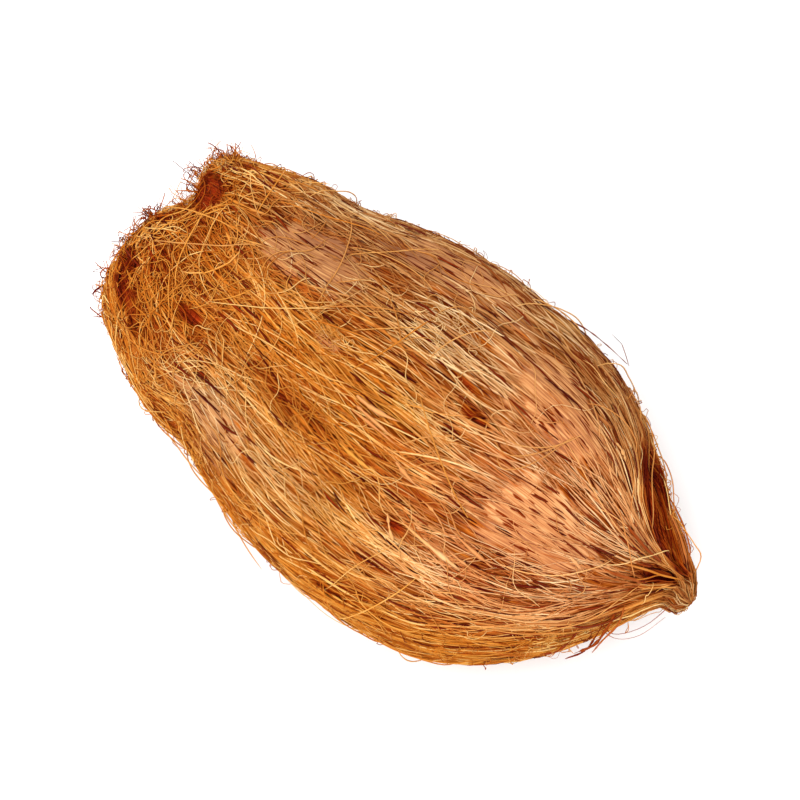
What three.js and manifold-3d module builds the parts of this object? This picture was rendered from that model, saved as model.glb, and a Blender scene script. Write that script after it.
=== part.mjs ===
// Semi-husked coconut lying on its side: one fibrous husk, in millimetres, with +Z up.
// +X is the long axis, from the blunt stalk end to the gathered tip. The origin is on the
// floor, under the middle of the husk with its loose fibres.
import * as THREE from "three";
import { mergeVertices } from "three/addons/utils/BufferGeometryUtils.js";
import Module from "manifold-3d";

// Rings of the husk from the floor of the stalk hollow, over the rim and along the body to the
// tip: place along the axis, furthest reach to +Y and -Y, and top and bottom of the section.
const rings = [
  [-71.0, 14.0, 14.0, 47.0, 47.0],
  [-71.5, 19.0, 9.0, 52.0, 41.0],
  [-76.0, 22.5, 4.0, 56.0, 35.0],
  [-80.5, 25.0, -4.0, 60.0, 29.0],
  [-82.5, 27.5, -13.5, 64.0, 23.0],
  [-80.6, 29.4, -21.0, 69.0, 17.5],
  [-75.5, 31.4, -26.0, 73.5, 12.5],
  [-66.0, 33.6, -32.0, 78.0, 9.0],
  [-54.0, 36.2, -37.8, 82.0, 6.0],
  [-42.0, 37.5, -39.2, 84.5, 3.6],
  [-30.0, 41.0, -43.6, 87.5, 0.8],
  [-15.0, 44.8, -49.0, 91.0, -0.9],
  [0.0, 46.8, -51.4, 93.0, -1.4],
  [15.0, 45.8, -51.8, 94.0, -0.9],
  [30.0, 44.4, -50.0, 92.5, 0.7],
  [42.0, 41.8, -46.3, 88.5, 2.2],
  [53.0, 36.6, -40.2, 82.5, 6.5],
  [63.0, 29.4, -31.5, 74.5, 12.5],
  [71.0, 23.2, -21.5, 65.5, 20.0],
  [78.0, 18.8, -8.8, 57.0, 28.0],
  [84.0, 15.2, 2.6, 50.0, 34.0],
  [88.2, 11.8, 3.8, 44.5, 37.0],
  [90.4, 8.0, 8.0, 40.8, 40.8],
];
const lastRing = rings.length - 1;
const middle = new THREE.Vector3(0.84, -2.97, 0); // brings the box's middle to the origin

// Where the husk's rows of points lie along the rings, closer at the rim and the tip.
const rows = [
  1.0, 2.0, 3.0, 3.6, 4.2, 4.8, 5.4, 6.0, 6.8, 7.7, 8.7, 9.8, 10.9, 12.0, 13.1, 14.2, 15.2, 16.0,
  16.7, 17.3, 17.9, 18.5, 19.1, 19.7, 20.3, 20.9, 21.5,
];
const husk = {
  lobes: 3, // the faces of the fruit
  lobe: 0.022, // how far they stand out, as a share of its radius
  lobeTurn: 0.5,
  leastRadius: 0.15, // the share of a section's radius that a groove leaves at least
  restFade: [0.5, 5], // heights over the floor where the forms fade out, on the flat spot
  nearSpot: { rings: 0.05, turn: 0.02 }, // how far off the surface is felt for its normal
  colour: 0xc4813f,
};

// Fibre ridges along the husk and the furrows between them. Each swells and strays to its side
// in its own slow wave as it goes.
const ridges = {
  columns: 94,
  seed: 11,
  half: 0.75, // half the height of a usual ridge
  height: [0.35, 1.25],
  fadeIn: [1, 6],
  fadeOut: [18, 22],
  fadeShare: 0.6,
  swell: 0.5,
  swellPitch: [0.5, 0.2],
  swellLag: 1.9,
  wander: 0.02,
  wanderPitch: 0.9,
  wanderLag: 2.4,
};

// Broad bundles that the fibres lie in: two waves round the husk, each swaying along it.
const bundles = {
  depth: 0.8,
  fadeIn: [4.5, 8],
  fadeOut: [20, 22],
  waves: [
    { share: 0.6, count: 11, phase: 0.8, sway: 1.6, pitch: 0.55, lag: 0 },
    { share: 0.4, count: 17, phase: 2.2, sway: -2.1, pitch: 0.4, lag: 1 },
  ],
};
const stalkEnd = {
  slant: 0.1, // how far it is cut aslant, for each millimetre to +Y
  slantOut: [5, 8.5],
  notch: 5.0,
  notchAngle: 1.4,
  notchHalf: 0.34,
  notchIn: [1.2, 3],
  notchOut: [5, 8],
};
const grooveEase = { in: 1.2, out: 0.7 };
const cleft = { angle: 0.42, drift: 0.13, half: 0.2, from: 16.1, to: 20.6, depth: 6.5 };
const mouth = { angle: 1.6, drift: 0, half: 0.18, from: 18.3, to: 20.4, depth: 5.0 };
const pleats = { count: 8, phase: 0.7, depth: 1.1, fadeIn: [16.5, 19.5], fadeOut: [21, 22] };

// Loose fibres. Each pair is the least and most of a draw: places in rings and radians,
// lengths in millimetres, bearings in radians from the way to the tip.
const strand = {
  radius: 0.42,
  sides: 3,
  taper: 0.2, // how much thinner it is at its far end
  sink: 2.2, // how deep its ends are sunk
  floor: 1.0,
  places: [4, lastRing - 1],
  nearSpot: { rings: 0.1, turn: 0.05 }, // how far off the skin is felt for its stretch
  leastStretch: { ring: 1, turn: 4 },
};
const arching = {
  count: 46,
  steps: 5,
  seed: 7,
  place: [6.5, 18],
  angle: [-0.75, 3.9],
  bearing: [-1.2, 1.2],
  turnedBack: 0.3, // share that runs towards the stalk end
  bend: [-0.9, 0.9],
  length: [22, 48],
  rise: [1.4, 3.0],
  arch: 0.45,
};
const stray = {
  count: 15,
  steps: 4,
  seed: 23,
  place: [7, 18],
  around: [0.15, 2.99, 1.57], // the angles that they gather by
  angle: [-0.45, 0.45],
  bearing: [-0.6, 0.6],
  turnedBack: 0.5,
  bend: [-0.6, 0.6],
  length: [12, 24],
  rise: [2.0, 4.2],
  arch: 0.8,
  taper: 0.5,
};
const brush = {
  count: 26,
  steps: 4,
  seed: 41,
  place: [3.4, 6],
  tufts: [0.55, 2.05], // the angles of the two tufts, either side of the notch
  spread: [-0.28, 0.28],
  length: [2.2, 5.2],
  curl: [-3, 3],
};
const locks = {
  count: 22,
  steps: 3,
  seed: 5,
  sides: 4,
  radius: [1.0, 1.8],
  place: [3.6, 5.6],
  length: [3, 5.8],
  curl: [-3.5, 3.5],
  stagger: 0.7,
  taper: 0.85,
};
const rimCut = { back: 0.7, away: 0.4, along: [-0.4, 0.1, 0.6, 1] };

// Straps of fibre at the tip, in threes that start and end a step apart, every other one higher.
const straps = {
  angles: [0.02, 0.2, 0.42, 1.25, 1.75, 2.5, -0.6],
  steps: 6,
  radius: 0.7,
  place: 17.2,
  placeStep: 0.25,
  length: 24,
  lengthStep: 2,
  bend: 0.05,
  sink: 1.5,
  rise: 1.1,
  riseStep: 0.5,
  arch: 0.5,
};

// A repeatable draw from 0 to 1.
function seeded(seed) {
  let state = seed >>> 0;
  return () => {
    state = (Math.imul(state, 1664525) + 1013904223) >>> 0;
    return state / 4294967296;
  };
}

const pick = (draw, [least, most]) => least + (most - least) * draw();
const smooth = (a, b, x) => THREE.MathUtils.smoothstep(x, a, b);
const between = (u, fadeIn, fadeOut) => smooth(...fadeIn, u) * (1 - smooth(...fadeOut, u));

// One measure of the rings at u, a place along their list, on a Catmull-Rom curve.
function along(column, u) {
  const i = Math.min(Math.floor(u), lastRing - 1);
  const t = u - i;
  const at = (k) => rings[THREE.MathUtils.clamp(k, 0, lastRing)][column];
  const [a, b, c, d] = [at(i - 1), at(i), at(i + 1), at(i + 2)];
  return 0.5 * (2 * b + (c - a) * t + (2 * a - 5 * b + 4 * c - d) * t * t + (3 * b - a - 3 * c + d) * t ** 3);
}

// How deep a groove that runs along the husk is at u and angle, from 0 to 1. Its own angle
// drifts as it goes towards the tip.
function groove(g, u, angle) {
  const centre = g.angle + g.drift * (u - g.from);
  const turn = Math.atan2(Math.sin(angle - centre), Math.cos(angle - centre));
  const ends = between(u, [g.from, g.from + grooveEase.in], [g.to - grooveEase.out, g.to]);
  return ends * Math.exp(-((turn / g.half) ** 2));
}

// How far the stalk end is cut back: aslant across Y, and in a notch over the hollow.
function stalkCut(u, angle, y) {
  const notch = Math.exp(-(((angle - stalkEnd.notchAngle) / stalkEnd.notchHalf) ** 2));
  const slant = stalkEnd.slant * y * (1 - smooth(...stalkEnd.slantOut, u));
  return slant + stalkEnd.notch * notch * between(u, stalkEnd.notchIn, stalkEnd.notchOut);
}

// The husk's smooth skin at u along the rings and an angle round the section from +Y over the
// top. relief moves it out, or in below 0, from the middle of the section.
function skin(u, angle, relief = 0) {
  const [x, right, left, top, bottom] = [0, 1, 2, 3, 4].map((k) => along(k, u));
  const [halfY, halfZ] = [(right - left) / 2, (top - bottom) / 2];
  const lobes = 1 + husk.lobe * Math.cos(husk.lobes * (angle - husk.lobeTurn));
  const y = halfY * lobes * Math.cos(angle);
  const z = halfZ * lobes * Math.sin(angle);
  const radius = Math.hypot(y, z);
  const outer = radius > 0 ? Math.max(1 + relief / radius, husk.leastRadius) : 1;
  const place = new THREE.Vector3(x, (right + left) / 2 + y * outer, (top + bottom) / 2 + z * outer);
  place.x += stalkCut(u, angle, place.y);
  place.z = Math.max(place.z, 0);
  return place.sub(middle);
}

// The broad forms of the surface: bundles, pleats at the tip, the cleft and the mouth.
function form(u, angle) {
  const wave = (w) => w.share * Math.sin(w.count * angle + w.sway * Math.sin(w.pitch * u + w.lag) + w.phase);
  const bundle = wave(bundles.waves[0]) + wave(bundles.waves[1]);
  const fold = Math.sin(pleats.count * angle + pleats.phase);
  return (
    bundles.depth * bundle * between(u, bundles.fadeIn, bundles.fadeOut) +
    pleats.depth * fold * between(u, pleats.fadeIn, pleats.fadeOut) -
    cleft.depth * groove(cleft, u, angle) -
    mouth.depth * groove(mouth, u, angle)
  );
}

// The skin with its broad forms, fading out on the flat spot that the husk rests on.
function surface(u, angle, extra = 0) {
  const rest = smooth(...husk.restFade, skin(u, angle).z + middle.z);
  return skin(u, angle, (form(u, angle) + extra) * rest);
}

function normalAt(u, angle) {
  const { rings: near, turn } = husk.nearSpot;
  const alongHusk = surface(Math.min(u + near, lastRing), angle).sub(surface(Math.max(u - near, 0), angle));
  const round = surface(u, angle + turn).sub(surface(u, angle - turn));
  return alongHusk.cross(round).negate().normalize();
}

// The angle and the height of ridge or furrow j where it passes u.
function ridgeAt(j, u, height) {
  const fade = smooth(...ridges.fadeIn, u) * (1 - ridges.fadeShare * smooth(...ridges.fadeOut, u));
  const stray = ridges.wander * Math.sin(ridges.wanderPitch * u + ridges.wanderLag * j);
  const [slow, faster] = ridges.swellPitch;
  const swell = 1 + ridges.swell * Math.sin((slow + faster * (j % 5)) * u + ridges.swellLag * j);
  return [(j / ridges.columns) * 2 * Math.PI + stray * fade, height * swell * ridges.half * fade];
}

// The husk's own body: a grid whose columns are fibre ridges and furrows in turn.
function huskBody() {
  const positions = [];
  const index = [];
  const { columns } = ridges;
  const draw = seeded(ridges.seed);
  const heights = Array.from({ length: columns }, (_, j) => (j % 2 ? 1 : -1) * pick(draw, ridges.height));
  for (const u of rows) {
    for (let j = 0; j < columns; j++) {
      const place = surface(u, ...ridgeAt(j, u, heights[j]));
      positions.push(place.x, place.y, place.z);
    }
  }
  const hollow = skin(0, 0);
  const tip = skin(lastRing, 0);
  positions.push(hollow.x, hollow.y, hollow.z, tip.x, tip.y, tip.z);
  const hollowAt = rows.length * columns;
  const last = hollowAt - columns;
  for (let j = 0; j < columns; j++) {
    const next = (j + 1) % columns;
    index.push(hollowAt, next, j);
    index.push(hollowAt + 1, last + j, last + next);
    for (let i = 0; i < rows.length - 1; i++) {
      const [a, b] = [i * columns + j, i * columns + next];
      const [c, d] = [a + columns, b + columns];
      if ((i + j) % 2) index.push(a, b, c, b, d, c);
      else index.push(a, b, d, a, d, c);
    }
  }
  return meshOf(positions, index);
}

function meshOf(positions, index) {
  const geometry = new THREE.BufferGeometry();
  geometry.setAttribute("position", new THREE.Float32BufferAttribute(positions, 3));
  geometry.setIndex(index);
  return geometry;
}

// The path of a fibre that lies on the husk: it starts at u and angle, heads off at a bearing
// from the way to the tip, and bends as it goes. lift gives its height over the skin.
function lyingPath({ u, angle, bearing, bend, length, lift }, steps) {
  const points = [];
  const step = length / steps;
  const { places, nearSpot: near, leastStretch: least } = strand;
  let [here, turn, way] = [u, angle, bearing];
  for (let k = 0; k <= steps; k++) {
    const place = surface(here, turn);
    place.addScaledVector(normalAt(here, turn), lift(k / steps));
    place.z = Math.max(place.z, strand.floor);
    points.push(place);
    const ahead = surface(Math.min(here + near.rings, lastRing), turn);
    const perRing = Math.max(ahead.distanceTo(surface(here, turn)) / near.rings, least.ring);
    const beside = surface(here, turn + near.turn);
    const perTurn = Math.max(beside.distanceTo(surface(here, turn)) / near.turn, least.turn);
    here = THREE.MathUtils.clamp(here + (step * Math.cos(way)) / perRing, ...places);
    turn += (step * Math.sin(way)) / perTurn;
    way += bend / steps;
  }
  return points;
}

// A closed tube along points, thinner towards its far end by taper, a share of its radius.
function fibre(points, look) {
  const { steps, radius, sides, taper } = { ...strand, ...look };
  const curve = new THREE.CatmullRomCurve3(points);
  const { normals, binormals } = curve.computeFrenetFrames(steps, false);
  const positions = [];
  const index = [];
  for (let k = 0; k <= steps; k++) {
    const centre = curve.getPointAt(k / steps);
    const reach = radius * (1 - taper * (k / steps));
    for (let s = 0; s < sides; s++) {
      const turn = (s / sides) * 2 * Math.PI;
      const corner = centre.clone().addScaledVector(normals[k], reach * Math.cos(turn));
      corner.addScaledVector(binormals[k], reach * Math.sin(turn));
      positions.push(corner.x, corner.y, corner.z);
      const [a, b] = [k * sides + s, k * sides + ((s + 1) % sides)];
      if (k < steps) index.push(a, b, a + sides, b, b + sides, a + sides);
    }
  }
  const end = steps * sides;
  for (let s = 2; s < sides; s++) index.push(0, s, s - 1, end, end + s - 1, end + s);
  return meshOf(positions, index);
}

// A draw of a lying fibre's place and course, from one of the tables of loose fibres.
function course(draw, table, side = 0) {
  const u = pick(draw, table.place);
  const angle = side + pick(draw, table.angle);
  const bearing = pick(draw, table.bearing) + (draw() < table.turnedBack ? Math.PI : 0);
  const [bend, length, rise] = [pick(draw, table.bend), pick(draw, table.length), pick(draw, table.rise)];
  return { u, angle, bearing, bend, length, rise };
}

// Fibres that arch over the husk with both ends sunk in it, in all directions.
function archingFibres() {
  const draw = seeded(arching.seed);
  return Array.from({ length: arching.count }, () => {
    const path = course(draw, arching);
    path.lift = (t) => -strand.sink + (strand.sink + path.rise) * Math.sin(Math.PI * t) ** arching.arch;
    return fibre(lyingPath(path, arching.steps + 1), arching);
  });
}

// Fibres with one end free, that stand away from the husk's sides.
function strayFibres() {
  const draw = seeded(stray.seed);
  return Array.from({ length: stray.count }, (_, k) => {
    const path = course(draw, stray, stray.around[k % stray.around.length]);
    path.lift = (t) => -strand.sink + (strand.sink + path.rise) * t ** stray.arch;
    return fibre(lyingPath(path, stray.steps), stray);
  });
}

// The path of a cut fibre that starts on the rim of the stalk hollow and curls outwards.
function rimPath(draw, table, angle) {
  const u = pick(draw, table.place);
  const root = surface(u, angle);
  const away = normalAt(u, angle);
  const length = pick(draw, table.length);
  const aside = new THREE.Vector3(0, pick(draw, table.curl), pick(draw, table.curl));
  const out = new THREE.Vector3(-rimCut.back, 0, 0).addScaledVector(away, rimCut.away).normalize();
  return rimCut.along.map((t) =>
    root.clone().addScaledVector(out, length * t).addScaledVector(aside, Math.max(t, 0) ** 2),
  );
}

// The brush of cut fibres round the stalk hollow, thickest in the two tufts by the notch.
function stalkBrush() {
  const draw = seeded(brush.seed);
  return Array.from({ length: brush.count }, (_, k) => {
    const round = ((k + draw()) / brush.count) * 2 * Math.PI;
    const angle = k % 3 ? brush.tufts[k % 2] + pick(draw, brush.spread) : round;
    return fibre(rimPath(draw, brush, angle), brush);
  });
}

// Matted locks of fibre that make the rim ragged, all the way round.
function rimLocks() {
  const draw = seeded(locks.seed);
  return Array.from({ length: locks.count }, (_, k) => {
    const angle = ((k + locks.stagger * draw()) / locks.count) * 2 * Math.PI;
    return fibre(rimPath(draw, locks, angle), { ...locks, radius: pick(draw, locks.radius) });
  });
}

// Straps of fibre that bow out over the cleft and run into the tip.
function tipStraps() {
  return straps.angles.map((angle, k) => {
    const u = straps.place + straps.placeStep * (k % 3);
    const length = straps.length - straps.lengthStep * (k % 3);
    const climb = straps.sink + straps.rise + straps.riseStep * (k % 2);
    const lift = (t) => -straps.sink + climb * Math.sin(Math.PI * t) ** straps.arch;
    return fibre(lyingPath({ u, angle, bearing: 0, bend: straps.bend, length, lift }, straps.steps), straps);
  });
}

const wasm = await Module();
wasm.setup();

function solidOf(geometry) {
  const plain = geometry.clone();
  plain.deleteAttribute("normal");
  plain.deleteAttribute("uv");
  const merged = mergeVertices(plain, 1e-4);
  return new wasm.Manifold(
    new wasm.Mesh({
      numProp: 3,
      vertProperties: new Float32Array(merged.attributes.position.array),
      triVerts: new Uint32Array(merged.index.array),
    }),
  );
}

function geometryOf(solid) {
  const mesh = solid.getMesh();
  const geometry = new THREE.BufferGeometry();
  geometry.setAttribute("position", new THREE.BufferAttribute(mesh.vertProperties, 3));
  geometry.setIndex(new THREE.BufferAttribute(mesh.triVerts, 1));
  geometry.computeVertexNormals();
  return geometry;
}

function makeHusk() {
  const fibres = [...archingFibres(), ...strayFibres(), ...stalkBrush(), ...rimLocks(), ...tipStraps()];
  const whole = fibres.reduce((solid, next) => solid.add(solidOf(next)), solidOf(huskBody()));
  const material = new THREE.MeshStandardMaterial({
    color: husk.colour,
    roughness: 0.85,
    metalness: 0,
    flatShading: true,
  });
  const mesh = new THREE.Mesh(geometryOf(whole), material);
  mesh.name = "husk";
  return mesh;
}

const coconut = new THREE.Group();
coconut.add(makeHusk());

export default coconut;
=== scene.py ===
import math

import bpy
import numpy as np
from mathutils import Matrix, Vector


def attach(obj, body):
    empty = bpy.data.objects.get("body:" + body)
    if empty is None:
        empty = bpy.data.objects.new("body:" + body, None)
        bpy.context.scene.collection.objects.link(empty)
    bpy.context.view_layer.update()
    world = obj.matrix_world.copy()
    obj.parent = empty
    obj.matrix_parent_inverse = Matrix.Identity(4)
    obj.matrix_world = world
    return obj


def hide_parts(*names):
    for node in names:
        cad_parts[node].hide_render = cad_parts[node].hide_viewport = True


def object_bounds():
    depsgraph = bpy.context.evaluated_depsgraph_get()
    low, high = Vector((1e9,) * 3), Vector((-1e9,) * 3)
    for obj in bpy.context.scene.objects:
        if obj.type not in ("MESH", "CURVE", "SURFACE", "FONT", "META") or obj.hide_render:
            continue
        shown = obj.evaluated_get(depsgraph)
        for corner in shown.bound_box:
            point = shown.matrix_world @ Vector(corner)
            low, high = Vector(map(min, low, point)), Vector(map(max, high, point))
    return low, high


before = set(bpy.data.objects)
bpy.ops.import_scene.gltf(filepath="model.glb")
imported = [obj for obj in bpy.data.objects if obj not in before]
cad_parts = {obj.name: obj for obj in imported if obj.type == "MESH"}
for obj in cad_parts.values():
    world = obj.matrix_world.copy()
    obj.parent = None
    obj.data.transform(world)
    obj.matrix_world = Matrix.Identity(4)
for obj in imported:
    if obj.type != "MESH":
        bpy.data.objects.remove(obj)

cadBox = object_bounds()
scene = bpy.context.scene
mm = 0.001
print("frame loaded")

# The husk's rings, as in the part's source: place along the axis, furthest reach to +Y and
# -Y, top and bottom of the section, in millimetres, from the stalk hollow to the tip.
rings = np.array([
    [-71.0, 14.0, 14.0, 47.0, 47.0],
    [-71.5, 19.0, 9.0, 52.0, 41.0],
    [-76.0, 22.5, 4.0, 56.0, 35.0],
    [-80.5, 25.0, -4.0, 60.0, 29.0],
    [-82.5, 27.5, -13.5, 64.0, 23.0],
    [-80.6, 29.4, -21.0, 69.0, 17.5],
    [-75.5, 31.4, -26.0, 73.5, 12.5],
    [-66.0, 33.6, -32.0, 78.0, 9.0],
    [-54.0, 36.2, -37.8, 82.0, 6.0],
    [-42.0, 37.5, -39.2, 84.5, 3.6],
    [-30.0, 41.0, -43.6, 87.5, 0.8],
    [-15.0, 44.8, -49.0, 91.0, -0.9],
    [0.0, 46.8, -51.4, 93.0, -1.4],
    [15.0, 45.8, -51.8, 94.0, -0.9],
    [30.0, 44.4, -50.0, 92.5, 0.7],
    [42.0, 41.8, -46.3, 88.5, 2.2],
    [53.0, 36.6, -40.2, 82.5, 6.5],
    [63.0, 29.4, -31.5, 74.5, 12.5],
    [71.0, 23.2, -21.5, 65.5, 20.0],
    [78.0, 18.8, -8.8, 57.0, 28.0],
    [84.0, 15.2, 2.6, 50.0, 34.0],
    [88.2, 11.8, 3.8, 44.5, 37.0],
    [90.4, 8.0, 8.0, 40.8, 40.8],
])
lastRing = len(rings) - 1
husk = {
    "middle": np.array([0.84, -2.97, 0.0]),
    "lobes": {"count": 3, "depth": 0.022, "turn": 0.5},
    "least": 0.15,
    "slant": {"slope": 0.1, "stop": (5, 8.5)},
    "notch": {"depth": 5.0, "angle": 1.4, "half": 0.34, "rise": (1.2, 3), "fall": (5, 8)},
    "rest": (0.5, 5),
}
bundles = {
    "height": 0.8, "rise": (4.5, 8), "fall": (20, 22),
    "waves": [  # share, number round the husk, sway, its rate and start along, turn
        (0.6, 11, 1.6, 0.55, 0, 0.8),
        (0.4, 17, -2.1, 0.4, 1, 2.2),
    ],
}
cleft = {"angle": 0.42, "drift": 0.13, "half": 0.2, "start": 16.1, "stop": 20.6, "depth": 6.5, "clear": 0.26}
mouth = {"angle": 1.6, "drift": 0.0, "half": 0.18, "start": 18.3, "stop": 20.4, "depth": 5.0, "clear": 0.2}
grooveEase = {"in": 1.2, "out": 0.7}
farLip = {"turn": -0.34, "half": 0.24}
parted = {"shut": 0.05, "far": 1.5, "reach": 1.6}
pleats = {"count": 8, "turn": 0.7, "depth": 1.1, "rise": (16.5, 19.5), "fall": (21, 22)}
strand = {"sink": 2.2, "floor": 1.0}


def smooth(a, b, x):
    # 0 below a and 1 above b, with 3t^2 - 2t^3 between them
    t = np.clip((x - a) / (b - a), 0, 1)
    return t * t * (3 - 2 * t)


def within(rise, fall, x):
    # 0, then 1 from the end of the rise to the start of the fall, then 0 again
    return smooth(*rise, x) * (1 - smooth(*fall, x))


def between(pair, draw):
    return pair[0] + (pair[1] - pair[0]) * draw


def turned(angle, centre):
    # how far an angle is past a centre, from half a turn back to half a turn on
    return np.arctan2(np.sin(angle - centre), np.cos(angle - centre))


def facing(angle, centre):
    # 1 at the centre angle and 0 opposite it
    return 0.5 + 0.5 * np.cos(angle - centre)


def measures(u):
    # the five ring measures at u on a Catmull-Rom curve through the rings
    i = np.clip(np.floor(u).astype(int), 0, lastRing - 1)
    t = (u - i)[..., None]
    return curve([rings[np.clip(i + k, 0, lastRing)] for k in (-1, 0, 1, 2)], t)


def curve(four, t):
    # between the middle two of four places in a row, on a Catmull-Rom curve
    a, b, c, d = four
    return 0.5 * (2 * b + (c - a) * t + (2 * a - 5 * b + 4 * c - d) * t**2 + (3 * b - a - 3 * c + d) * t**3)


def fromMiddle(g, u, angle):
    # how far a place is turned from a groove's middle, and how open the groove is there
    turn = turned(angle, g["angle"] + g["drift"] * (u - g["start"]))
    rise = (g["start"], g["start"] + grooveEase["in"])
    return turn, within(rise, (g["stop"] - grooveEase["out"], g["stop"]), u)


def groove(g, u, angle):
    # a bell across the groove's own angle, eased in and out along the husk
    turn, ends = fromMiddle(g, u, angle)
    return ends * np.exp(-((turn / g["half"]) ** 2))


def keptClear(u, angle, held):
    # fibres keep to the side of the cleft and of the mouth on which they came in, which held
    # remembers while they are near, and are turned aside from the middle
    aside = 0
    for k, g in enumerate((cleft, mouth)):
        turn, ends = fromMiddle(g, u, angle)
        anew = (ends < parted["shut"]) | (held[k] == 0) | (np.abs(turn) > parted["far"])
        held[k] = np.where(anew, np.sign(turn), held[k])
        kept = np.maximum(turn * held[k], 0)
        lip = kept + g["clear"] * np.exp(-((kept / g["half"] / parted["reach"]) ** 2))
        aside = aside + ends * (held[k] * lip - turn)
    return angle + aside


def skinAt(u, angle, relief=0.0):
    # an ellipse with three faint lobes round each ring, pushed out by relief, cut back at
    # the stalk end and laid flat where it would pass below the floor
    x, right, left, top, bottom = np.moveaxis(measures(u), -1, 0)
    lobes, slant, notch = husk["lobes"], husk["slant"], husk["notch"]
    swell = 1 + lobes["depth"] * np.cos(lobes["count"] * (angle - lobes["turn"]))
    y = (right - left) / 2 * swell * np.cos(angle)
    z = (top - bottom) / 2 * swell * np.sin(angle)
    radius = np.maximum(np.hypot(y, z), 1e-6)
    outer = np.maximum(radius + relief, husk["least"] * radius) / radius
    y = (right + left) / 2 + y * outer
    z = (top + bottom) / 2 + z * outer
    cut = notch["depth"] * np.exp(-(((angle - notch["angle"]) / notch["half"]) ** 2))
    x = x + slant["slope"] * y * (1 - smooth(*slant["stop"], u))
    x = x + cut * within(notch["rise"], notch["fall"], u)
    return np.stack([x, y, np.maximum(z, 0)], -1) - husk["middle"]


def formAt(u, angle):
    # bundles of fibre as two sine waves round the husk, pleats at the tip, less the grooves
    relief = 0
    for share, count, sway, rate, start, turn in bundles["waves"]:
        relief = relief + share * np.sin(count * angle + sway * np.sin(rate * u + start) + turn)
    relief = bundles["height"] * relief * within(bundles["rise"], bundles["fall"], u)
    folds = pleats["depth"] * within(pleats["rise"], pleats["fall"], u)
    relief = relief + folds * np.sin(pleats["count"] * angle + pleats["turn"])
    return relief - cleft["depth"] * groove(cleft, u, angle) - mouth["depth"] * groove(mouth, u, angle)


def surfaceAt(u, angle, extra=0.0):
    # the skin with its broad forms, which fade out on the flat spot underneath
    rest = smooth(*husk["rest"], skinAt(u, angle)[..., 2])
    return skinAt(u, angle, (formAt(u, angle) + extra) * rest)


def unit(v):
    return v / np.maximum(np.linalg.norm(v, axis=-1, keepdims=True), 1e-9)


def normalAt(u, angle):
    # the cross product of the two ways along the surface
    ahead = surfaceAt(np.minimum(u + 0.05, lastRing), angle) - surfaceAt(np.maximum(u - 0.05, 0), angle)
    around = surfaceAt(u, angle + 0.02) - surfaceAt(u, angle - 0.02)
    return unit(-np.cross(ahead, around))


def streaks(seed, cellsAlong, cellsRound):
    # smooth random values on a lattice along and round the husk, closed round the section
    lattice = np.random.default_rng(seed).random((cellsAlong + 2, cellsRound))

    def sample(u, angle):
        p = np.clip(u / lastRing, 0, 1) * cellsAlong
        q = (angle / (2 * math.pi)) % 1.0 * cellsRound
        i = np.floor(p).astype(int)
        j = np.floor(q).astype(int)
        t = smooth(0, 1, q - j)
        low, high = (
            lattice[row, j % cellsRound] * (1 - t) + lattice[row, (j + 1) % cellsRound] * t
            for row in (i, i + 1)
        )
        return between((low, high), smooth(0, 1, p - i))

    return sample


bareSkin = [  # smooth patches of husk skin: ring, angle, reach along and reach round, weight
    (9.3, 1.2, 1.2, 0.24, 1.15),
    (9.5, 2.5, 1.3, 0.22, 0.8),
    (15.8, 1.74, 1.6, 0.28, 1.0),
    (14.6, 1.05, 1.8, 0.28, 0.9),
    (10.7, 1.63, 0.3, 0.05, 0.9),
    (11.6, 0.72, 2.6, 0.28, 0.7),
    (10.0, 2.74, 0.9, 0.16, 0.6),
    (13.0, 3.9, 2.0, 0.35, 0.8),
    (11.0, 5.6, 2.4, 0.4, 0.8),
]
tears = [  # dark patches torn open, partly painted shade, most round the rim: ring, angle, reach along and round, weight
    (5.7, 1.18, 1.0, 0.24, 1.2),
    (5.0, 1.7, 0.5, 0.14, 0.8),
    (5.6, 2.2, 0.7, 0.14, 0.9),
    (6.4, 2.42, 1.0, 0.12, 0.8),
    (6.6, 0.72, 0.5, 0.10, 0.7),
    (7.9, 2.05, 0.4, 0.05, 0.8),
    (5.2, 3.6, 0.6, 0.25, 0.8),
    (5.4, 5.2, 0.6, 0.3, 0.8),
    (12.9, 1.33, 0.3, 0.05, 0.8),
    (13.5, 1.45, 0.3, 0.04, 0.75),
    (13.4, 2.18, 0.35, 0.035, 0.85),
    (13.1, 2.82, 0.8, 0.035, 0.85),
]
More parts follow.
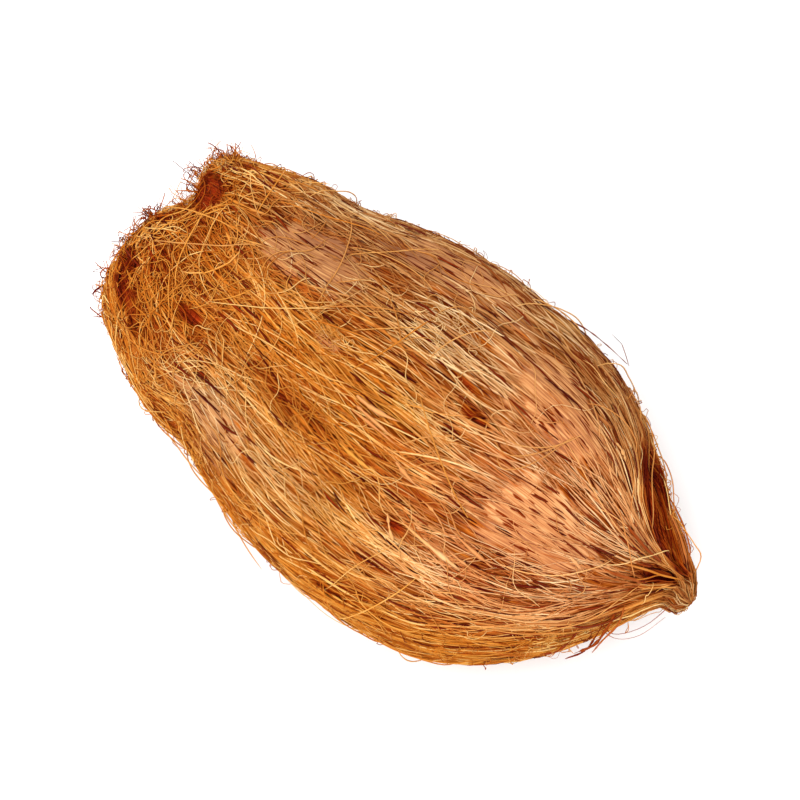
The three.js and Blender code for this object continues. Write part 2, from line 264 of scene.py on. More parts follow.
glows = [  # where the fibre is paler or darker: ring, angle, reach along and round, tone
    (6.9, 2.3, 0.9, 0.28, -0.28),
    (7.6, 0.95, 0.6, 0.2, -0.16),
    (8.1, 1.67, 0.7, 0.14, -0.12),
    (9.4, 1.0, 1.1, 0.24, -0.2),
    (9.8, 2.35, 1.3, 0.24, 0.18),
    (10.3, 2.06, 0.5, 0.12, -0.12),
    (10.4, 0.84, 1.3, 0.16, -0.24),
    (10.5, 1.77, 0.5, 0.1, -0.12),
    (10.9, 2.04, 0.8, 0.1, -0.16),
    (11.1, 0.94, 0.5, 0.12, -0.1),
    (11.3, 2.4, 1.0, 0.18, 0.26),
    (11.5, 1.79, 0.5, 0.1, -0.12),
    (11.6, 1.18, 0.5, 0.14, 0.18),
    (11.8, 1.35, 1.0, 0.16, 0.18),
    (12.2, 2.75, 1.2, 0.14, 0.2),
    (12.7, 1.2, 0.8, 0.14, 0.22),
    (12.7, 1.5, 1.0, 0.14, 0.24),
    (13.0, 1.44, 0.4, 0.08, 0.12),
    (13.3, 2.73, 0.8, 0.14, -0.12),
    (13.4, 1.62, 0.7, 0.1, 0.14),
    (13.5, 1.3, 0.6, 0.12, 0.2),
    (13.6, 2.08, 0.8, 0.08, 0.2),
    (14.8, 1.95, 0.9, 0.1, -0.14),
    (15.0, 1.5, 0.6, 0.14, 0.14),
    (15.2, 1.15, 0.7, 0.2, -0.1),
    (15.6, 2.5, 1.0, 0.2, 0.24),
    (15.8, 0.8, 0.5, 0.12, 0.12),
    (16.0, 2.2, 0.6, 0.12, 0.12),
    (16.1, 1.86, 0.5, 0.12, -0.14),
    (16.3, 1.5, 0.5, 0.12, 0.36),
    (18.6, 1.1, 0.6, 0.3, 0.15),
]
ashen = [  # where the golden fibre has greyed: ring, angle, reach along and round, weight
    (9.7, 2.4, 1.6, 0.3, 0.55),
    (11.2, 2.45, 1.4, 0.25, 0.5),
    (12.7, 1.25, 0.9, 0.25, 0.4),
]
bareEdge = {"streaks": streaks(31, 60, 90), "share": 0.5, "ramp": (0.25, 0.6)}
tornEdge = {"streaks": streaks(16, 70, 60), "share": 0.6, "ramp": (0.4, 0.62)}
gape = {"grooves": 1.8, "hollow": 0.8, "hollowEnd": (1.5, 4.2), "torn": 0.85}
tangle = {"angle": 2.1, "rings": (5.5, 13), "least": 0.25, "far": 0.35}


def ovalsAt(ovals, u, angle):
    # one bell along the husk times one round it for each soft oval, times its last value
    for ring, centre, reachAlong, reachRound, most in ovals:
        across = turned(angle, centre) / reachRound
        yield most * np.exp(-(((u - ring) / reachAlong) ** 2) - across**2)


def highestOval(ovals, u, angle):
    height = np.zeros(np.broadcast(u, angle).shape)
    for oval in ovalsAt(ovals, u, angle):
        height = np.maximum(height, oval)
    return height


def patches(ovals, edge, u, angle):
    # the ovals cut off at a height, with an outline that the streaks make ragged
    rough = edge["share"] * (edge["streaks"](u, angle) - 0.5)
    return smooth(*edge["ramp"], highestOval(ovals, u, angle) + rough)


def bareAt(u, angle):
    return patches(bareSkin, bareEdge, u, angle)


def tornAt(u, angle):
    return patches(tears, tornEdge, u, angle)


def gapeAt(u, angle):
    # the deep places at the tip, in the stalk hollow and in the torn patches, where painted shade goes
    hollow = 1 - smooth(*gape["hollowEnd"], u)
    grooves = np.maximum(groove(cleft, u, angle), groove(mouth, u, angle))
    depth = gape["grooves"] * grooves + gape["hollow"] * hollow + gape["torn"] * tornAt(u, angle)
    return np.clip(depth, 0, 1)


def lipAt(u, angle):
    # the far lip of the cleft, which is dark and torn
    turn, ends = fromMiddle(cleft, u, angle)
    return ends * np.exp(-(((turn - farLip["turn"]) / farLip["half"]) ** 2))


def glowAt(u, angle):
    return sum(ovalsAt(glows, u, angle))


def shagAt(u, angle):
    # how loose and tangled the fibre is: most at the stalk end and down its near side
    near = between((tangle["far"], 1), facing(angle, tangle["angle"]))
    return between((tangle["least"], 1), (1 - smooth(*tangle["rings"], u)) * near)


print("husk shape ready")


def srgb(red, green, blue):
    # a colour as read off a screen, 0 to 255, turned to linear light
    c = np.array([red, green, blue]) / 255
    light = np.where(c <= 0.04045, c / 12.92, ((c + 0.055) / 1.055) ** 2.4)
    return (*light.tolist(), 1.0)


def newGroup(name, inputs, outputs):
    group = bpy.data.node_groups.new(name, "ShaderNodeTree")
    for way, sockets in (("INPUT", inputs), ("OUTPUT", outputs)):
        for label, kind in sockets.items():
            group.interface.new_socket(name=label, in_out=way, socket_type=kind)
    source = group.nodes.new("NodeGroupInput")
    sink = group.nodes.new("NodeGroupOutput")
    return group, source.outputs, sink.inputs


def addNode(tree, kind, settings=None, **sockets):
    # a node with its settings, and each socket, by name or as i and its number, given a
    # value or a link
    node = tree.nodes.new(kind)
    for key, value in (settings or {}).items():
        setattr(node, key, value)
    for label, value in sockets.items():
        numbered = label[0] == "i" and label[1:].isdigit()
        socket = node.inputs[int(label[1:]) if numbered else label]
        if isinstance(value, bpy.types.NodeSocket):
            tree.links.new(value, socket)
        else:
            socket.default_value = value
    return node


def ramp(tree, factor, stops):
    node = addNode(tree, "ShaderNodeValToRGB", Fac=factor)
    band = node.color_ramp
    while len(band.elements) < len(stops):
        band.elements.new(0.5)
    for element, (place, colour) in zip(band.elements, stops):
        element.position = place
        element.color = colour
    return node.outputs["Color"]


def mixColour(tree, factor, first, second, blend="MIX"):
    settings = {"data_type": "RGBA", "blend_type": blend}
    return addNode(tree, "ShaderNodeMix", settings, i0=factor, i6=first, i7=second).outputs[2]


def math3(tree, operation, first, second, third=0.0, clamp=False):
    settings = {"operation": operation, "use_clamp": clamp}
    return addNode(tree, "ShaderNodeMath", settings, i0=first, i1=second, i2=third).outputs[0]


def noiseOf(tree, place, scale, detail):
    return addNode(tree, "ShaderNodeTexNoise", Vector=place, Scale=scale, Detail=detail).outputs["Fac"]


tones = {  # the fibre from its darkest to its palest, for each part of the husk
    "golden": [(104, 18, 0), (156, 70, 6), (193, 112, 30), (214, 146, 62), (238, 196, 122)],
    "grey": [(90, 26, 4), (126, 70, 32), (158, 108, 63), (186, 142, 96), (220, 188, 148)],
    "pink": [(120, 28, 0), (176, 96, 44), (208, 141, 88), (226, 168, 117), (244, 208, 162)],
}
toneStops = [0.0, 0.25, 0.5, 0.75, 1.0]
white = (1, 1, 1, 1)
gapShade = [  # painted shade: what the colour is multiplied by, from the deepest gap to the open
    (0.0, (0.14, 0.02, 0.004, 1)),
    (0.2, (0.45, 0.16, 0.05, 1)),
    (0.4, (0.77, 0.49, 0.28, 1)),
    (0.7, white),
]
mottle = {"scale": 260.0, "detail": 3.0, "spread": 0.34}


def coirColourGroup():
    # three fibre palettes mixed by the husk's parts, mottled, and reddened and darkened by painted shade down
    # in the gaps, as Lift sets it
    inputs = dict.fromkeys(("Tone", "Grey", "Pink", "Lift"), "NodeSocketFloat")
    inputs["Place"] = "NodeSocketVector"
    group, given, result = newGroup("coirColour", inputs, {"Color": "NodeSocketColor"})
    noise = noiseOf(group, given["Place"], mottle["scale"], mottle["detail"])
    shift = math3(group, "MULTIPLY_ADD", noise, mottle["spread"], -mottle["spread"] / 2)
    tone = math3(group, "ADD", given["Tone"], shift, clamp=True)
    golden, grey, pink = (
        ramp(group, tone, [(stop, srgb(*colour)) for stop, colour in zip(toneStops, tones[key])])
        for key in ("golden", "grey", "pink")
    )
    colour = mixColour(group, given["Grey"], golden, grey)
    colour = mixColour(group, given["Pink"], colour, pink)
    # painted shade: the colour multiplied by the gap shade ramp on Lift
    colour = mixColour(group, 1.0, colour, ramp(group, given["Lift"], gapShade), "MULTIPLY")
    group.links.new(colour, result["Color"])
    return group


grainNoise = {"scale": 2600.0, "detail": 2.0, "height": 0.0001}


def fibreGrainGroup():
    # fine unevenness along a fibre, as a bump
    inputs = {"Place": "NodeSocketVector", "Depth": "NodeSocketFloat"}
    group, given, result = newGroup("fibreGrain", inputs, {"Normal": "NodeSocketVector"})
    noise = noiseOf(group, given["Place"], grainNoise["scale"], grainNoise["detail"])
    sockets = {"Strength": given["Depth"], "Distance": grainNoise["height"], "Height": noise}
    bump = addNode(group, "ShaderNodeBump", **sockets)
    group.links.new(bump.outputs["Normal"], result["Normal"])
    return group


coirColour = coirColourGroup()
fibreGrain = fibreGrainGroup()


def value(tree, name):
    return addNode(tree, "ShaderNodeAttribute", {"attribute_name": name}).outputs["Fac"]


def startMaterial(name, roughness, specular):
    material = bpy.data.materials.new(name)
    material.use_nodes = True
    shader = material.node_tree.nodes["Principled BSDF"]
    shader.inputs["Roughness"].default_value = roughness
    shader.inputs["Specular IOR Level"].default_value = specular
    return material, material.node_tree, shader


fibreLook = {"roughness": 0.65, "specular": 0.05, "grain": 0.3}


def fibreMaterial(name, look):
    material, tree, shader = startMaterial(name, look["roughness"], look["specular"])
    place = addNode(tree, "ShaderNodeTexCoord").outputs["Object"]
    # the lift attribute is the fibre's painted shade, lower is darker
    sockets = {label: value(tree, label.lower()) for label in ("Tone", "Grey", "Pink", "Lift")}
    paint = addNode(tree, "ShaderNodeGroup", {"node_tree": coirColour}, Place=place, **sockets)
    grain = addNode(tree, "ShaderNodeGroup", {"node_tree": fibreGrain}, Place=place, Depth=look["grain"])
    tree.links.new(paint.outputs["Color"], shader.inputs["Base Color"])
    tree.links.new(grain.outputs["Normal"], shader.inputs["Normal"])
    return material


matLook = {
    "roughness": 0.9, "specular": 0.03, "bump": 0.6, "height": 0.0004,
    "threads": (20.0, 520.0, 3.0), "slits": (34.0, 330.0, 1.0), "rags": (26.0, 150.0, 3.0),
    "contrast": 2.2, "base": -0.74,
    # the combed bed's darker threads are partly painted shade of the gaps between fibres
    "combed": [(0.34, srgb(86, 24, 2)), (0.5, srgb(148, 68, 12)), (0.66, srgb(192, 108, 36))],
    "skinEdge": [(0.3, (0, 0, 0, 1)), (0.42, white)],
    "faded": srgb(206, 154, 106), "fadedShare": 0.3,
    # slitShade is painted shade in short slits; deep is the dark red of the deep places, partly painted
    # shade; deepest is painted shade
    "slitShade": [(0.36, (0.3, 0.08, 0.02, 1)), (0.41, white)],
    "deep": [(0.35, srgb(82, 8, 0)), (0.65, srgb(164, 46, 12))],
    "deepest": [(0.86, white), (1.0, (0.42, 0.16, 0.08, 1))],
}


def matMaterial(look):
    # combed mid-brown bed with lengthwise threads, kept darker than the fibre as painted shade in the
    # gaps between fibres, paler bare skin torn into it, and short dark slits of painted shade in
    # both, all redder and darker in the deep places, partly the husk's own dark red and partly
    # painted shade
    material, tree, shader = startMaterial("fibreBed", look["roughness"], look["specular"])
    place = addNode(tree, "ShaderNodeTexCoord").outputs["Object"]
    sheet = addNode(tree, "ShaderNodeUVMap", {"uv_map": "OFBake"}).outputs["UV"]

    def lengthwise(key):
        along, across, detail = look[key]
        stretched = addNode(tree, "ShaderNodeMapping", Vector=sheet, Scale=(along, across, 1.0))
        return noiseOf(tree, stretched.outputs["Vector"], 1.0, detail)

    thread, slit, rag = (lengthwise(key) for key in ("threads", "slits", "rags"))
    tone = math3(tree, "MULTIPLY_ADD", thread, look["contrast"], look["base"])
    sockets = {"Tone": math3(tree, "ADD", tone, value(tree, "tone")), "Lift": 1.0}
    sockets.update(Grey=value(tree, "grey"), Pink=value(tree, "pink"))
    paint = addNode(tree, "ShaderNodeGroup", {"node_tree": coirColour}, Place=place, **sockets)
    faded = mixColour(tree, look["fadedShare"], paint.outputs["Color"], look["faded"])
    edge = math3(tree, "ADD", value(tree, "bare"), math3(tree, "SUBTRACT", rag, 0.5))
    skin = ramp(tree, edge, look["skinEdge"])
    colour = mixColour(tree, skin, ramp(tree, thread, look["combed"]), faded)
    colour = mixColour(tree, 1.0, colour, ramp(tree, slit, look["slitShade"]), "MULTIPLY")
    colour = mixColour(tree, value(tree, "gape"), colour, ramp(tree, thread, look["deep"]))
    colour = mixColour(tree, 1.0, colour, ramp(tree, value(tree, "gape"), look["deepest"]), "MULTIPLY")
    tree.links.new(colour, shader.inputs["Base Color"])
    bump = addNode(tree, "ShaderNodeBump", Strength=look["bump"], Distance=look["height"], Height=thread)
    tree.links.new(bump.outputs["Normal"], shader.inputs["Normal"])
    return material


coirMaterial = fibreMaterial("coirFibre", fibreLook)
bedMaterial = matMaterial(matLook)
print("materials ready")

boxMargin = 0.02  # millimetres kept free inside the part's own box


def putMesh(name, verts, faces, uv, values, material):
    # faces holds index arrays, each with its own number of corners, in the order of uv
    low, high = (np.array(corner) / mm for corner in cadBox)
    verts = np.clip(verts, low + boxMargin, high - boxMargin)
    mesh = bpy.data.meshes.new(name)
    mesh.vertices.add(len(verts))
    mesh.vertices.foreach_set("co", (verts * mm).astype(np.float32).ravel())
    corners = np.concatenate([f.ravel() for f in faces]).astype(np.int32)
    sizes = np.concatenate([np.full(len(f), f.shape[1]) for f in faces])
    starts = np.concatenate([[0], np.cumsum(sizes)[:-1]]).astype(np.int32)
    mesh.loops.add(len(corners))
    mesh.loops.foreach_set("vertex_index", corners)
    mesh.polygons.add(len(starts))
    mesh.polygons.foreach_set("loop_start", starts)
    mesh.update(calc_edges=True)
    mesh.uv_layers.new(name="OFBake").data.foreach_set("uv", uv.astype(np.float32).ravel())
    for key, numbers in values.items():
        attribute = mesh.attributes.new(key, "FLOAT", "POINT")
        attribute.data.foreach_set("value", numbers.astype(np.float32).ravel())
    mesh.shade_smooth()
    mesh.materials.append(material)
    piece = bpy.data.objects.new(name, mesh)
    scene.collection.objects.link(piece)
    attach(piece, "root")
    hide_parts("husk")
    print(name, "triangles", int((sizes - 2).sum()))


def tubeSheet(count, steps, sides):
    # each tube has its own square of the sheet, its length across and its sides upwards
    cells = math.ceil(math.sqrt(count))
    cell = np.stack([np.arange(count) % cells, np.arange(count) // cells], -1)[:, None, None, None]
    k = np.arange(steps - 1)[None, :, None]
    s = np.arange(sides)[None, None, :]
    parts = np.broadcast_arrays(k / (steps - 1), (k + 1) / (steps - 1), s / sides, (s + 1) / sides)
    near, far, low, high = parts
    corners = np.stack([np.stack([near, near, far, far], -1), np.stack([low, high, high, low], -1)], -1)
    inset = 0.1
    walls = (cell + inset + (1 - 2 * inset) * corners) / cells
    caps = [
        (cell[:, 0, 0] + inset + (1 - 2 * inset) * np.array([[end, 0]] * sides)) / cells
        for end in (0, 1)
    ]
    return np.concatenate([part.reshape(-1, 2) for part in (walls, *caps)])


def putTubes(name, points, normals, radii, tone, hue, lift, sides=3, flat=1.0):
    # each path carries a ring of corners square to it, the first one outwards; flat squashes
    # the ring towards the skin, and the two end rings are closed
    count, steps = points.shape[:2]
    along = unit(np.gradient(points, axis=1))
    outward = unit(normals - along * np.sum(normals * along, -1, keepdims=True))
    aside = np.cross(along, outward)
    turn = np.arange(sides) / sides * 2 * math.pi
    ring = outward[:, :, None] * (flat * np.cos(turn))[:, None] + aside[:, :, None] * np.sin(turn)[:, None]
    verts = points[:, :, None] + ring * radii[:, :, None, None]
    first = np.arange(count)[:, None, None] * steps * sides
    k = np.arange(steps - 1)[None, :, None] * sides
    s = np.arange(sides)[None, None, :]
    beside = (s + 1) % sides
    corners = (first + k + c for c in (s, beside, beside + sides, s + sides))
    quads = np.stack(np.broadcast_arrays(*corners), -1)
    startCap = first[:, 0] + np.arange(sides)[::-1]
    endCap = first[:, 0] + (steps - 1) * sides + np.arange(sides)
    # lift carries the painted shade that coirColour multiplies in
    values = {"tone": tone, "grey": hue[0], "pink": hue[1], "lift": lift}
    values = {key: np.repeat(np.broadcast_to(v, (count, steps)).ravel(), sides) for key, v in values.items()}
    faces = [quads.reshape(-1, 4), startCap, endCap]
    putMesh(name, verts.reshape(-1, 3), faces, tubeSheet(count, steps, sides), values, coirMaterial)


def spread(rng, count, density, least=2.6, most=21.3, cells=360):
    # places drawn evenly over the skin's area, times a density that varies over it
    step, turn = (most - least) / cells, 2 * math.pi / cells
    u, angle = np.meshgrid(np.linspace(least, most, cells), np.arange(cells) * turn, indexing="ij")
    ahead = surfaceAt(u + 0.02, angle) - surfaceAt(u - 0.02, angle)
    around = surfaceAt(u, angle + 0.01) - surfaceAt(u, angle - 0.01)
    weight = (np.linalg.norm(np.cross(ahead, around), axis=-1) * density(u, angle)).ravel()
    picked = rng.choice(weight.size, count, p=weight / weight.sum())
    jitter = rng.random((2, count)) - 0.5
    return u.ravel()[picked] + jitter[0] * step, angle.ravel()[picked] + jitter[1] * turn


sourceLimits = (4, lastRing - 1)


def lyingPaths(u, angle, bearing, bend, length, lift, limits=(2.4, 21.5), sway=0.0):
    # equal steps over the skin at a bearing that bends by an even amount at each step, plus
    # its own sway; lift is the height over the skin at each step
    steps = lift.shape[1] - 1
    sway = np.broadcast_to(sway, lift.shape)
    points, normals, rows, turns = [], [], [], []
    held = np.zeros((2, len(u)))
    for k in range(steps + 1):
        place = surfaceAt(u, angle)
        shown = keptClear(u, angle, held)
        away = normalAt(u, shown)
        points.append(surfaceAt(u, shown) + away * lift[:, k, None])
        normals.append(away)
        rows.append(u)
        turns.append(shown)
        perRing = np.linalg.norm(surfaceAt(np.minimum(u + 0.1, lastRing), angle) - place, axis=-1) / 0.1
        perTurn = np.linalg.norm(surfaceAt(u, angle + 0.05) - place, axis=-1) / 0.05
        way = bearing + sway[:, k]
        u = np.clip(u + length / steps * np.cos(way) / np.maximum(perRing, 1), *limits)
        angle = angle + length / steps * np.sin(way) / np.maximum(perTurn, 4)
        bearing = bearing + bend / steps
    return [np.stack(part, 1) for part in (points, normals, rows, turns)]


hues = {
    # greySide, greyRamp and greyEnd place the painted reflection on the +Y side
    "greySide": 0.35, "greyRamp": (0.62, 0.95), "greyEnd": (15, 19), "greyTip": (19, 20.5),
    "pinkSide": 1.75, "pinkRamp": (0.76, 0.97), "pinkRise": (12.2, 15), "pinkFall": (17.5, 20),
    "golden": (6.5, 9), "bare": 0.5, "tip": 0.8, "most": (0.75, 0.8), "overlap": 0.6,
}


def hueAt(u, angle):
    # greyer on the side towards +Y, where it is a painted reflection of the white light, near
    # bare skin and at the tip, pinker over the belly near the tip, and golden in the deep
    # places and round the rim
    grey = smooth(*hues["greyRamp"], facing(angle, hues["greySide"])) * (1 - smooth(*hues["greyEnd"], u))
    grey = grey + hues["bare"] * bareAt(u, angle) + hues["tip"] * smooth(*hues["greyTip"], u)
    grey = np.clip(grey * smooth(*hues["golden"], u) + highestOval(ashen, u, angle), 0, 1)
    pink = within(hues["pinkRise"], hues["pinkFall"], u)
    pink = pink * smooth(*hues["pinkRamp"], facing(angle, hues["pinkSide"]))
    away = 1 - np.maximum(gapeAt(u, angle), lipAt(u, angle))
    return hues["most"][0] * grey * (1 - hues["overlap"] * pink) * away, hues["most"][1] * pink * away


bed = {
    "rows": 252, "columns": 200, "sunk": 1.1, "bareRise": 1.2, "ridge": 0.5, "bareRidge": 0.4,
    "rise": (1, 5), "fall": (20.5, 22), "shares": (0.6, 0.4),
}


def makeBed():
    # the skin as a closed grid, sunk below the fibres and risen in its bare patches, with
    # random lengthwise ridges
    rows, columns = bed["rows"], bed["columns"]
    u = np.linspace(0, lastRing, rows + 1)[1:-1]
    u, angle = np.meshgrid(u, np.arange(columns) / columns * 2 * math.pi - math.pi / 2, indexing="ij")
    bare = bareAt(u, angle)
    long, short = streaks(3, 40, 120)(u, angle), streaks(4, 90, 60)(u, angle)
    ridges = 2 * bed["ridge"] * (bed["shares"][0] * long + bed["shares"][1] * short - 0.5)
    relief = bed["bareRise"] * bare - bed["sunk"] + ridges * (1 - (1 - bed["bareRidge"]) * bare)
    verts = surfaceAt(u, angle, relief * within(bed["rise"], bed["fall"], u)).reshape(-1, 3)
    n = verts.shape[0]
    verts = np.concatenate([verts, skinAt(np.array([0.0, lastRing]), np.zeros(2))])
    i = np.arange(rows - 2)[:, None]
    j = np.arange(columns)[None, :]
    beside = (j + 1) % columns
    row = i * columns
    quads = np.stack([row + j, row + beside, row + columns + beside, row + columns + j], -1).reshape(-1, 4)
    hollow = np.stack([np.full(columns, n), beside[0], j[0]], -1)
    tip = np.stack([np.full(columns, n + 1), n - columns + j[0], n - columns + beside[0]], -1)
    low, high, a, b = np.broadcast_arrays((i + 1) / rows, (i + 2) / rows, j / columns, (j + 1) / columns)
    grid = np.stack([np.stack(corner, -1) for corner in ((low, a), (low, b), (high, b), (high, a))], -2)
    edge, nextEdge = a[0], b[0]
    inward = np.array([0, 1, 1]) * np.ones((columns, 1)) / rows
    hollowUv = np.stack([inward, np.stack([edge, nextEdge, edge], -1)], -1)
    tipUv = np.stack([1 - inward, np.stack([edge, edge, nextEdge], -1)], -1)
    uv = np.concatenate([part.reshape(-1, 2) for part in (grid, hollowUv, tipUv)])
    grey, pink = hueAt(u, angle)
    values = {"bare": highestOval(bareSkin, u, angle), "grey": grey, "pink": pink}
    values.update(gape=gapeAt(u, angle), tone=glowAt(u, angle))
    values = {key: np.concatenate([v.ravel(), [0, 0]]) for key, v in values.items()}
    putMesh("fibreBed", verts, [quads, hollow, tip], uv, values, bedMaterial)


makeBed()

lean = streaks(12, 16, 14)  # which way the fibre is combed
clumps = streaks(13, 26, 66)  # where it stands up in bundles
gaps = streaks(14, 34, 110)  # where it has parted
weather = streaks(15, 18, 30)  # where it is browner or paler
clumping = {"level": 0.45, "rise": (3, 6)}
combing = {"least": 0.25, "shag": 0.7, "stray": 0.05}


def combed(rng, u, angle, looseness):
    # the bearing of lying fibre: mostly lengthwise, combed aside in places, and tangled
    shag = shagAt(u, angle)
    stray = rng.normal(0, 1, u.shape) * (combing["stray"] + looseness * shag**1.5)
    return (lean(u, angle) - 0.5) * (combing["least"] + combing["shag"] * shag) + stray


def clumped(rows, turns):
    return (clumps(rows, turns) - clumping["level"]) * smooth(*clumping["rise"], rows)


def eitherWay(rng, count):
    return np.where(rng.random(count) < 0.5, math.pi, 0)


def uneven(rng, radius, spread, count):
    # radii about a middle one, by a normal draw of their logarithm
    return radius * np.exp(rng.normal(0, spread, count))


def fibreTones(rng, count, middle, width):
    return np.clip(rng.normal(middle, width, count), 0, 1)[:, None]


# painted shade of the lying fibre: low down, in the deep places, at the rim, on the cleft's lip and along
# both edges; also its weathering and its darker tip
shading = {
    "open": 0.5, "height": 0.42, "gape": 0.9, "rim": (4.5, 9), "weather": 0.28, "toneGape": 0.5,
    "lip": 0.24, "toneLip": 0.22, "tip": (19, 20.5), "toneTip": 0.08,
    # farEdge and nearEdge darken the tone along the two edges as painted shade
    "farEdge": {"angle": 0.25, "ramp": (0.9, 0.99), "rings": (10, 13), "tone": 0.1},
    "nearEdge": {"angle": 3.0, "ramp": (0.93, 0.995), "rings": (16, 18), "tone": 0.16},
}


def lyingShade(look, rows, turns, height):
    # painted shade: darker low down, in the deep places, at the rim and on the cleft's far lip
    deep = shading["gape"] * gapeAt(rows, turns) + look["rimShade"] * (1 - smooth(*shading["rim"], rows))
    lifted = np.clip(shading["open"] + shading["height"] * height + look["shade"] - deep, 0, 1)
    return lifted * (1 - shading["lip"] * lipAt(rows, turns))


def lyingTone(rng, look, rows, turns):
    # weathered and glowing in places, less the painted shade that the deep places, the lip and
    # the edges take away, and less what the tip takes away
    far, near = shading["farEdge"], shading["nearEdge"]
    tone = fibreTones(rng, len(rows), *look["tone"]) + shading["weather"] * (weather(rows, turns) - 0.5)
    farEdge = smooth(*far["ramp"], facing(turns, far["angle"])) * smooth(*far["rings"], rows)
    nearEdge = smooth(*near["ramp"], facing(turns, near["angle"])) * (1 - smooth(*near["rings"], rows))
    dark = shading["toneGape"] * gapeAt(rows, turns) + shading["toneLip"] * lipAt(rows, turns)
    dark = dark + far["tone"] * farEdge + near["tone"] * nearEdge
    dark = dark + shading["toneTip"] * smooth(*shading["tip"], rows)
    return np.clip(tone + glowAt(rows, turns) - dark, 0, 1)


lying = {
    "gaps": (0.25, 0.5), "spareGape": 0.75, "shorter": 0.35, "straight": 0.08, "unevenness": 0.28,
    "buriedRamp": (0.5, 0.8), "thinEnd": 0.25,
}


def layFibres(name, look):
    # fibres along the husk, packed in bundles and parted by dark gaps, each highest over most
    # of its length, thin at its ends and, on bare skin and in tears, partly buried
    rng = np.random.default_rng(look["seed"])
    count, steps = look["count"], look["steps"]

    def density(u, angle):
        packed = between((look["parting"], 1), smooth(*lying["gaps"], gaps(u, angle)))
        spared = (1 - look["spareBare"] * bareAt(u, angle)) * (1 - lying["spareGape"] * gapeAt(u, angle))
        return packed * spared

    u, angle = spread(rng, count, density)
    shag = shagAt(u, angle)
    bearing = combed(rng, u, angle, look["looseness"])
    length = between(look["length"], rng.random(count)) * (1 - lying["shorter"] * shag)
    bearing = bearing + eitherWay(rng, count)
    bend = rng.normal(0, 1, count) * (lying["straight"] + look["bend"] * shag)
    t = np.linspace(0, 1, steps)
    arch = 1 - np.abs(2 * t - 1) ** 6
    lift = between(look["lift"], rng.random(count))[:, None] * arch + look["dip"] * (1 - arch)
    sway = rng.normal(0, look["sway"], (count, steps))
    points, normals, rows, turns = lyingPaths(u, angle, bearing, bend, length, lift, sway=sway)
    share, depth = look["buried"]
    buried = (rng.random(count) < share)[:, None] * depth
    buried = buried * smooth(*lying["buriedRamp"], highestOval(bareSkin, rows, turns))
    rise = look["clump"] * clumped(rows, turns) - buried - look["tornSink"] * tornAt(rows, turns)
    points = points + normals * rise[..., None]
    radius = uneven(rng, look["radius"], lying["unevenness"], count)[:, None]
    radii = radius * between((lying["thinEnd"], 1), 1 - np.abs(2 * t - 1) ** 5)
    tone = lyingTone(rng, look, rows, turns)
    shade = lyingShade(look, rows, turns, lift + rise)
    putTubes(name, points, normals, radii, tone, hueAt(rows, turns), shade)


underFibre = {
    "seed": 101, "count": 2750, "steps": 11, "length": (30, 70), "radius": 0.25, "lift": (-1.0, -0.2),
    "dip": -1.3, "clump": 0.8, "looseness": 0.10, "bend": 0.3, "sway": 0.03, "tone": (0.5, 0.14),
    "shade": 0.16, "parting": 0.35, "spareBare": 0.6, "rimShade": 0.35, "buried": (1.0, 0.6), "tornSink": 1.6,
}
overFibre = {
    "seed": 102, "count": 3200, "steps": 11, "length": (26, 62), "radius": 0.21, "lift": (-0.6, 0.2),
    "dip": -1.1, "clump": 1.1, "looseness": 0.18, "bend": 0.5, "sway": 0.04, "tone": (0.56, 0.18),
    "shade": 0.12, "parting": 0.12, "spareBare": 0.65, "rimShade": 0.3, "buried": (0.8, 1.1), "tornSink": 2.0,
}
fineFibre = {
    "seed": 103, "count": 2900, "steps": 12, "length": (20, 56), "radius": 0.15, "lift": (-0.3, 0.5),
    "dip": -0.9, "clump": 1.1, "looseness": 0.32, "bend": 0.9, "sway": 0.06, "tone": (0.68, 0.19),
    "shade": 0.14, "parting": 0.2, "spareBare": 0.25, "rimShade": 0.1, "buried": (0.5, 1.3), "tornSink": 1.4,
}
layFibres("underFibre", underFibre)
layFibres("overFibre", overFibre)
layFibres("fineFibre", fineFibre)
print("lying fibre ready")


def denser(points, times):
    # more points on the Catmull-Rom curve through the ones given
    count = points.shape[1]
    at = np.linspace(0, count - 1, (count - 1) * times + 1)
    i = np.minimum(at.astype(int), count - 2)
    before, after = 2 * points[:, :1] - points[:, 1:2], 2 * points[:, -1:] - points[:, -2:-1]
    padded = np.concatenate([before, points, after], 1)
    return curve([padded[:, i + k] for k in range(4)], (at - i)[None, :, None])


def tapered(radius, steps, tip=0.25):
    # full in the middle and thin at both ends
    t = np.linspace(0, 1, steps)
    return np.asarray(radius)[:, None] * between((tip, 1), 1 - np.abs(2 * t - 1) ** 4)


curling = {
    "nearSide": 2.5, "nearRamp": (0.8, 0.97), "nearEnd": (14.5, 17.5), "nearShare": 0.16, "shagPower": 1.6,
    "spareGape": 0.9, "spareBare": 0.6, "first": 3.2, "aroundEnd": (5, 9), "aroundStray": 0.4,
    "wave": (0.18, 0.5), "waveLength": 14, "root": -0.8, "unevenness": 0.2,
    "glow": 0.6, "toneTorn": 0.3, "open": 0.55, "height": 0.4, "torn": 0.5, "hue": 0.6,
}


def looseDensity(u, angle):
    near = smooth(*curling["nearRamp"], facing(angle, curling["nearSide"]))
    near = near * (1 - smooth(*curling["nearEnd"], u))
    shag = shagAt(u, angle) ** curling["shagPower"] + curling["nearShare"] * near
    spared = (1 - curling["spareGape"] * gapeAt(u, angle)) * (1 - curling["spareBare"] * bareAt(u, angle))
    return shag * spared


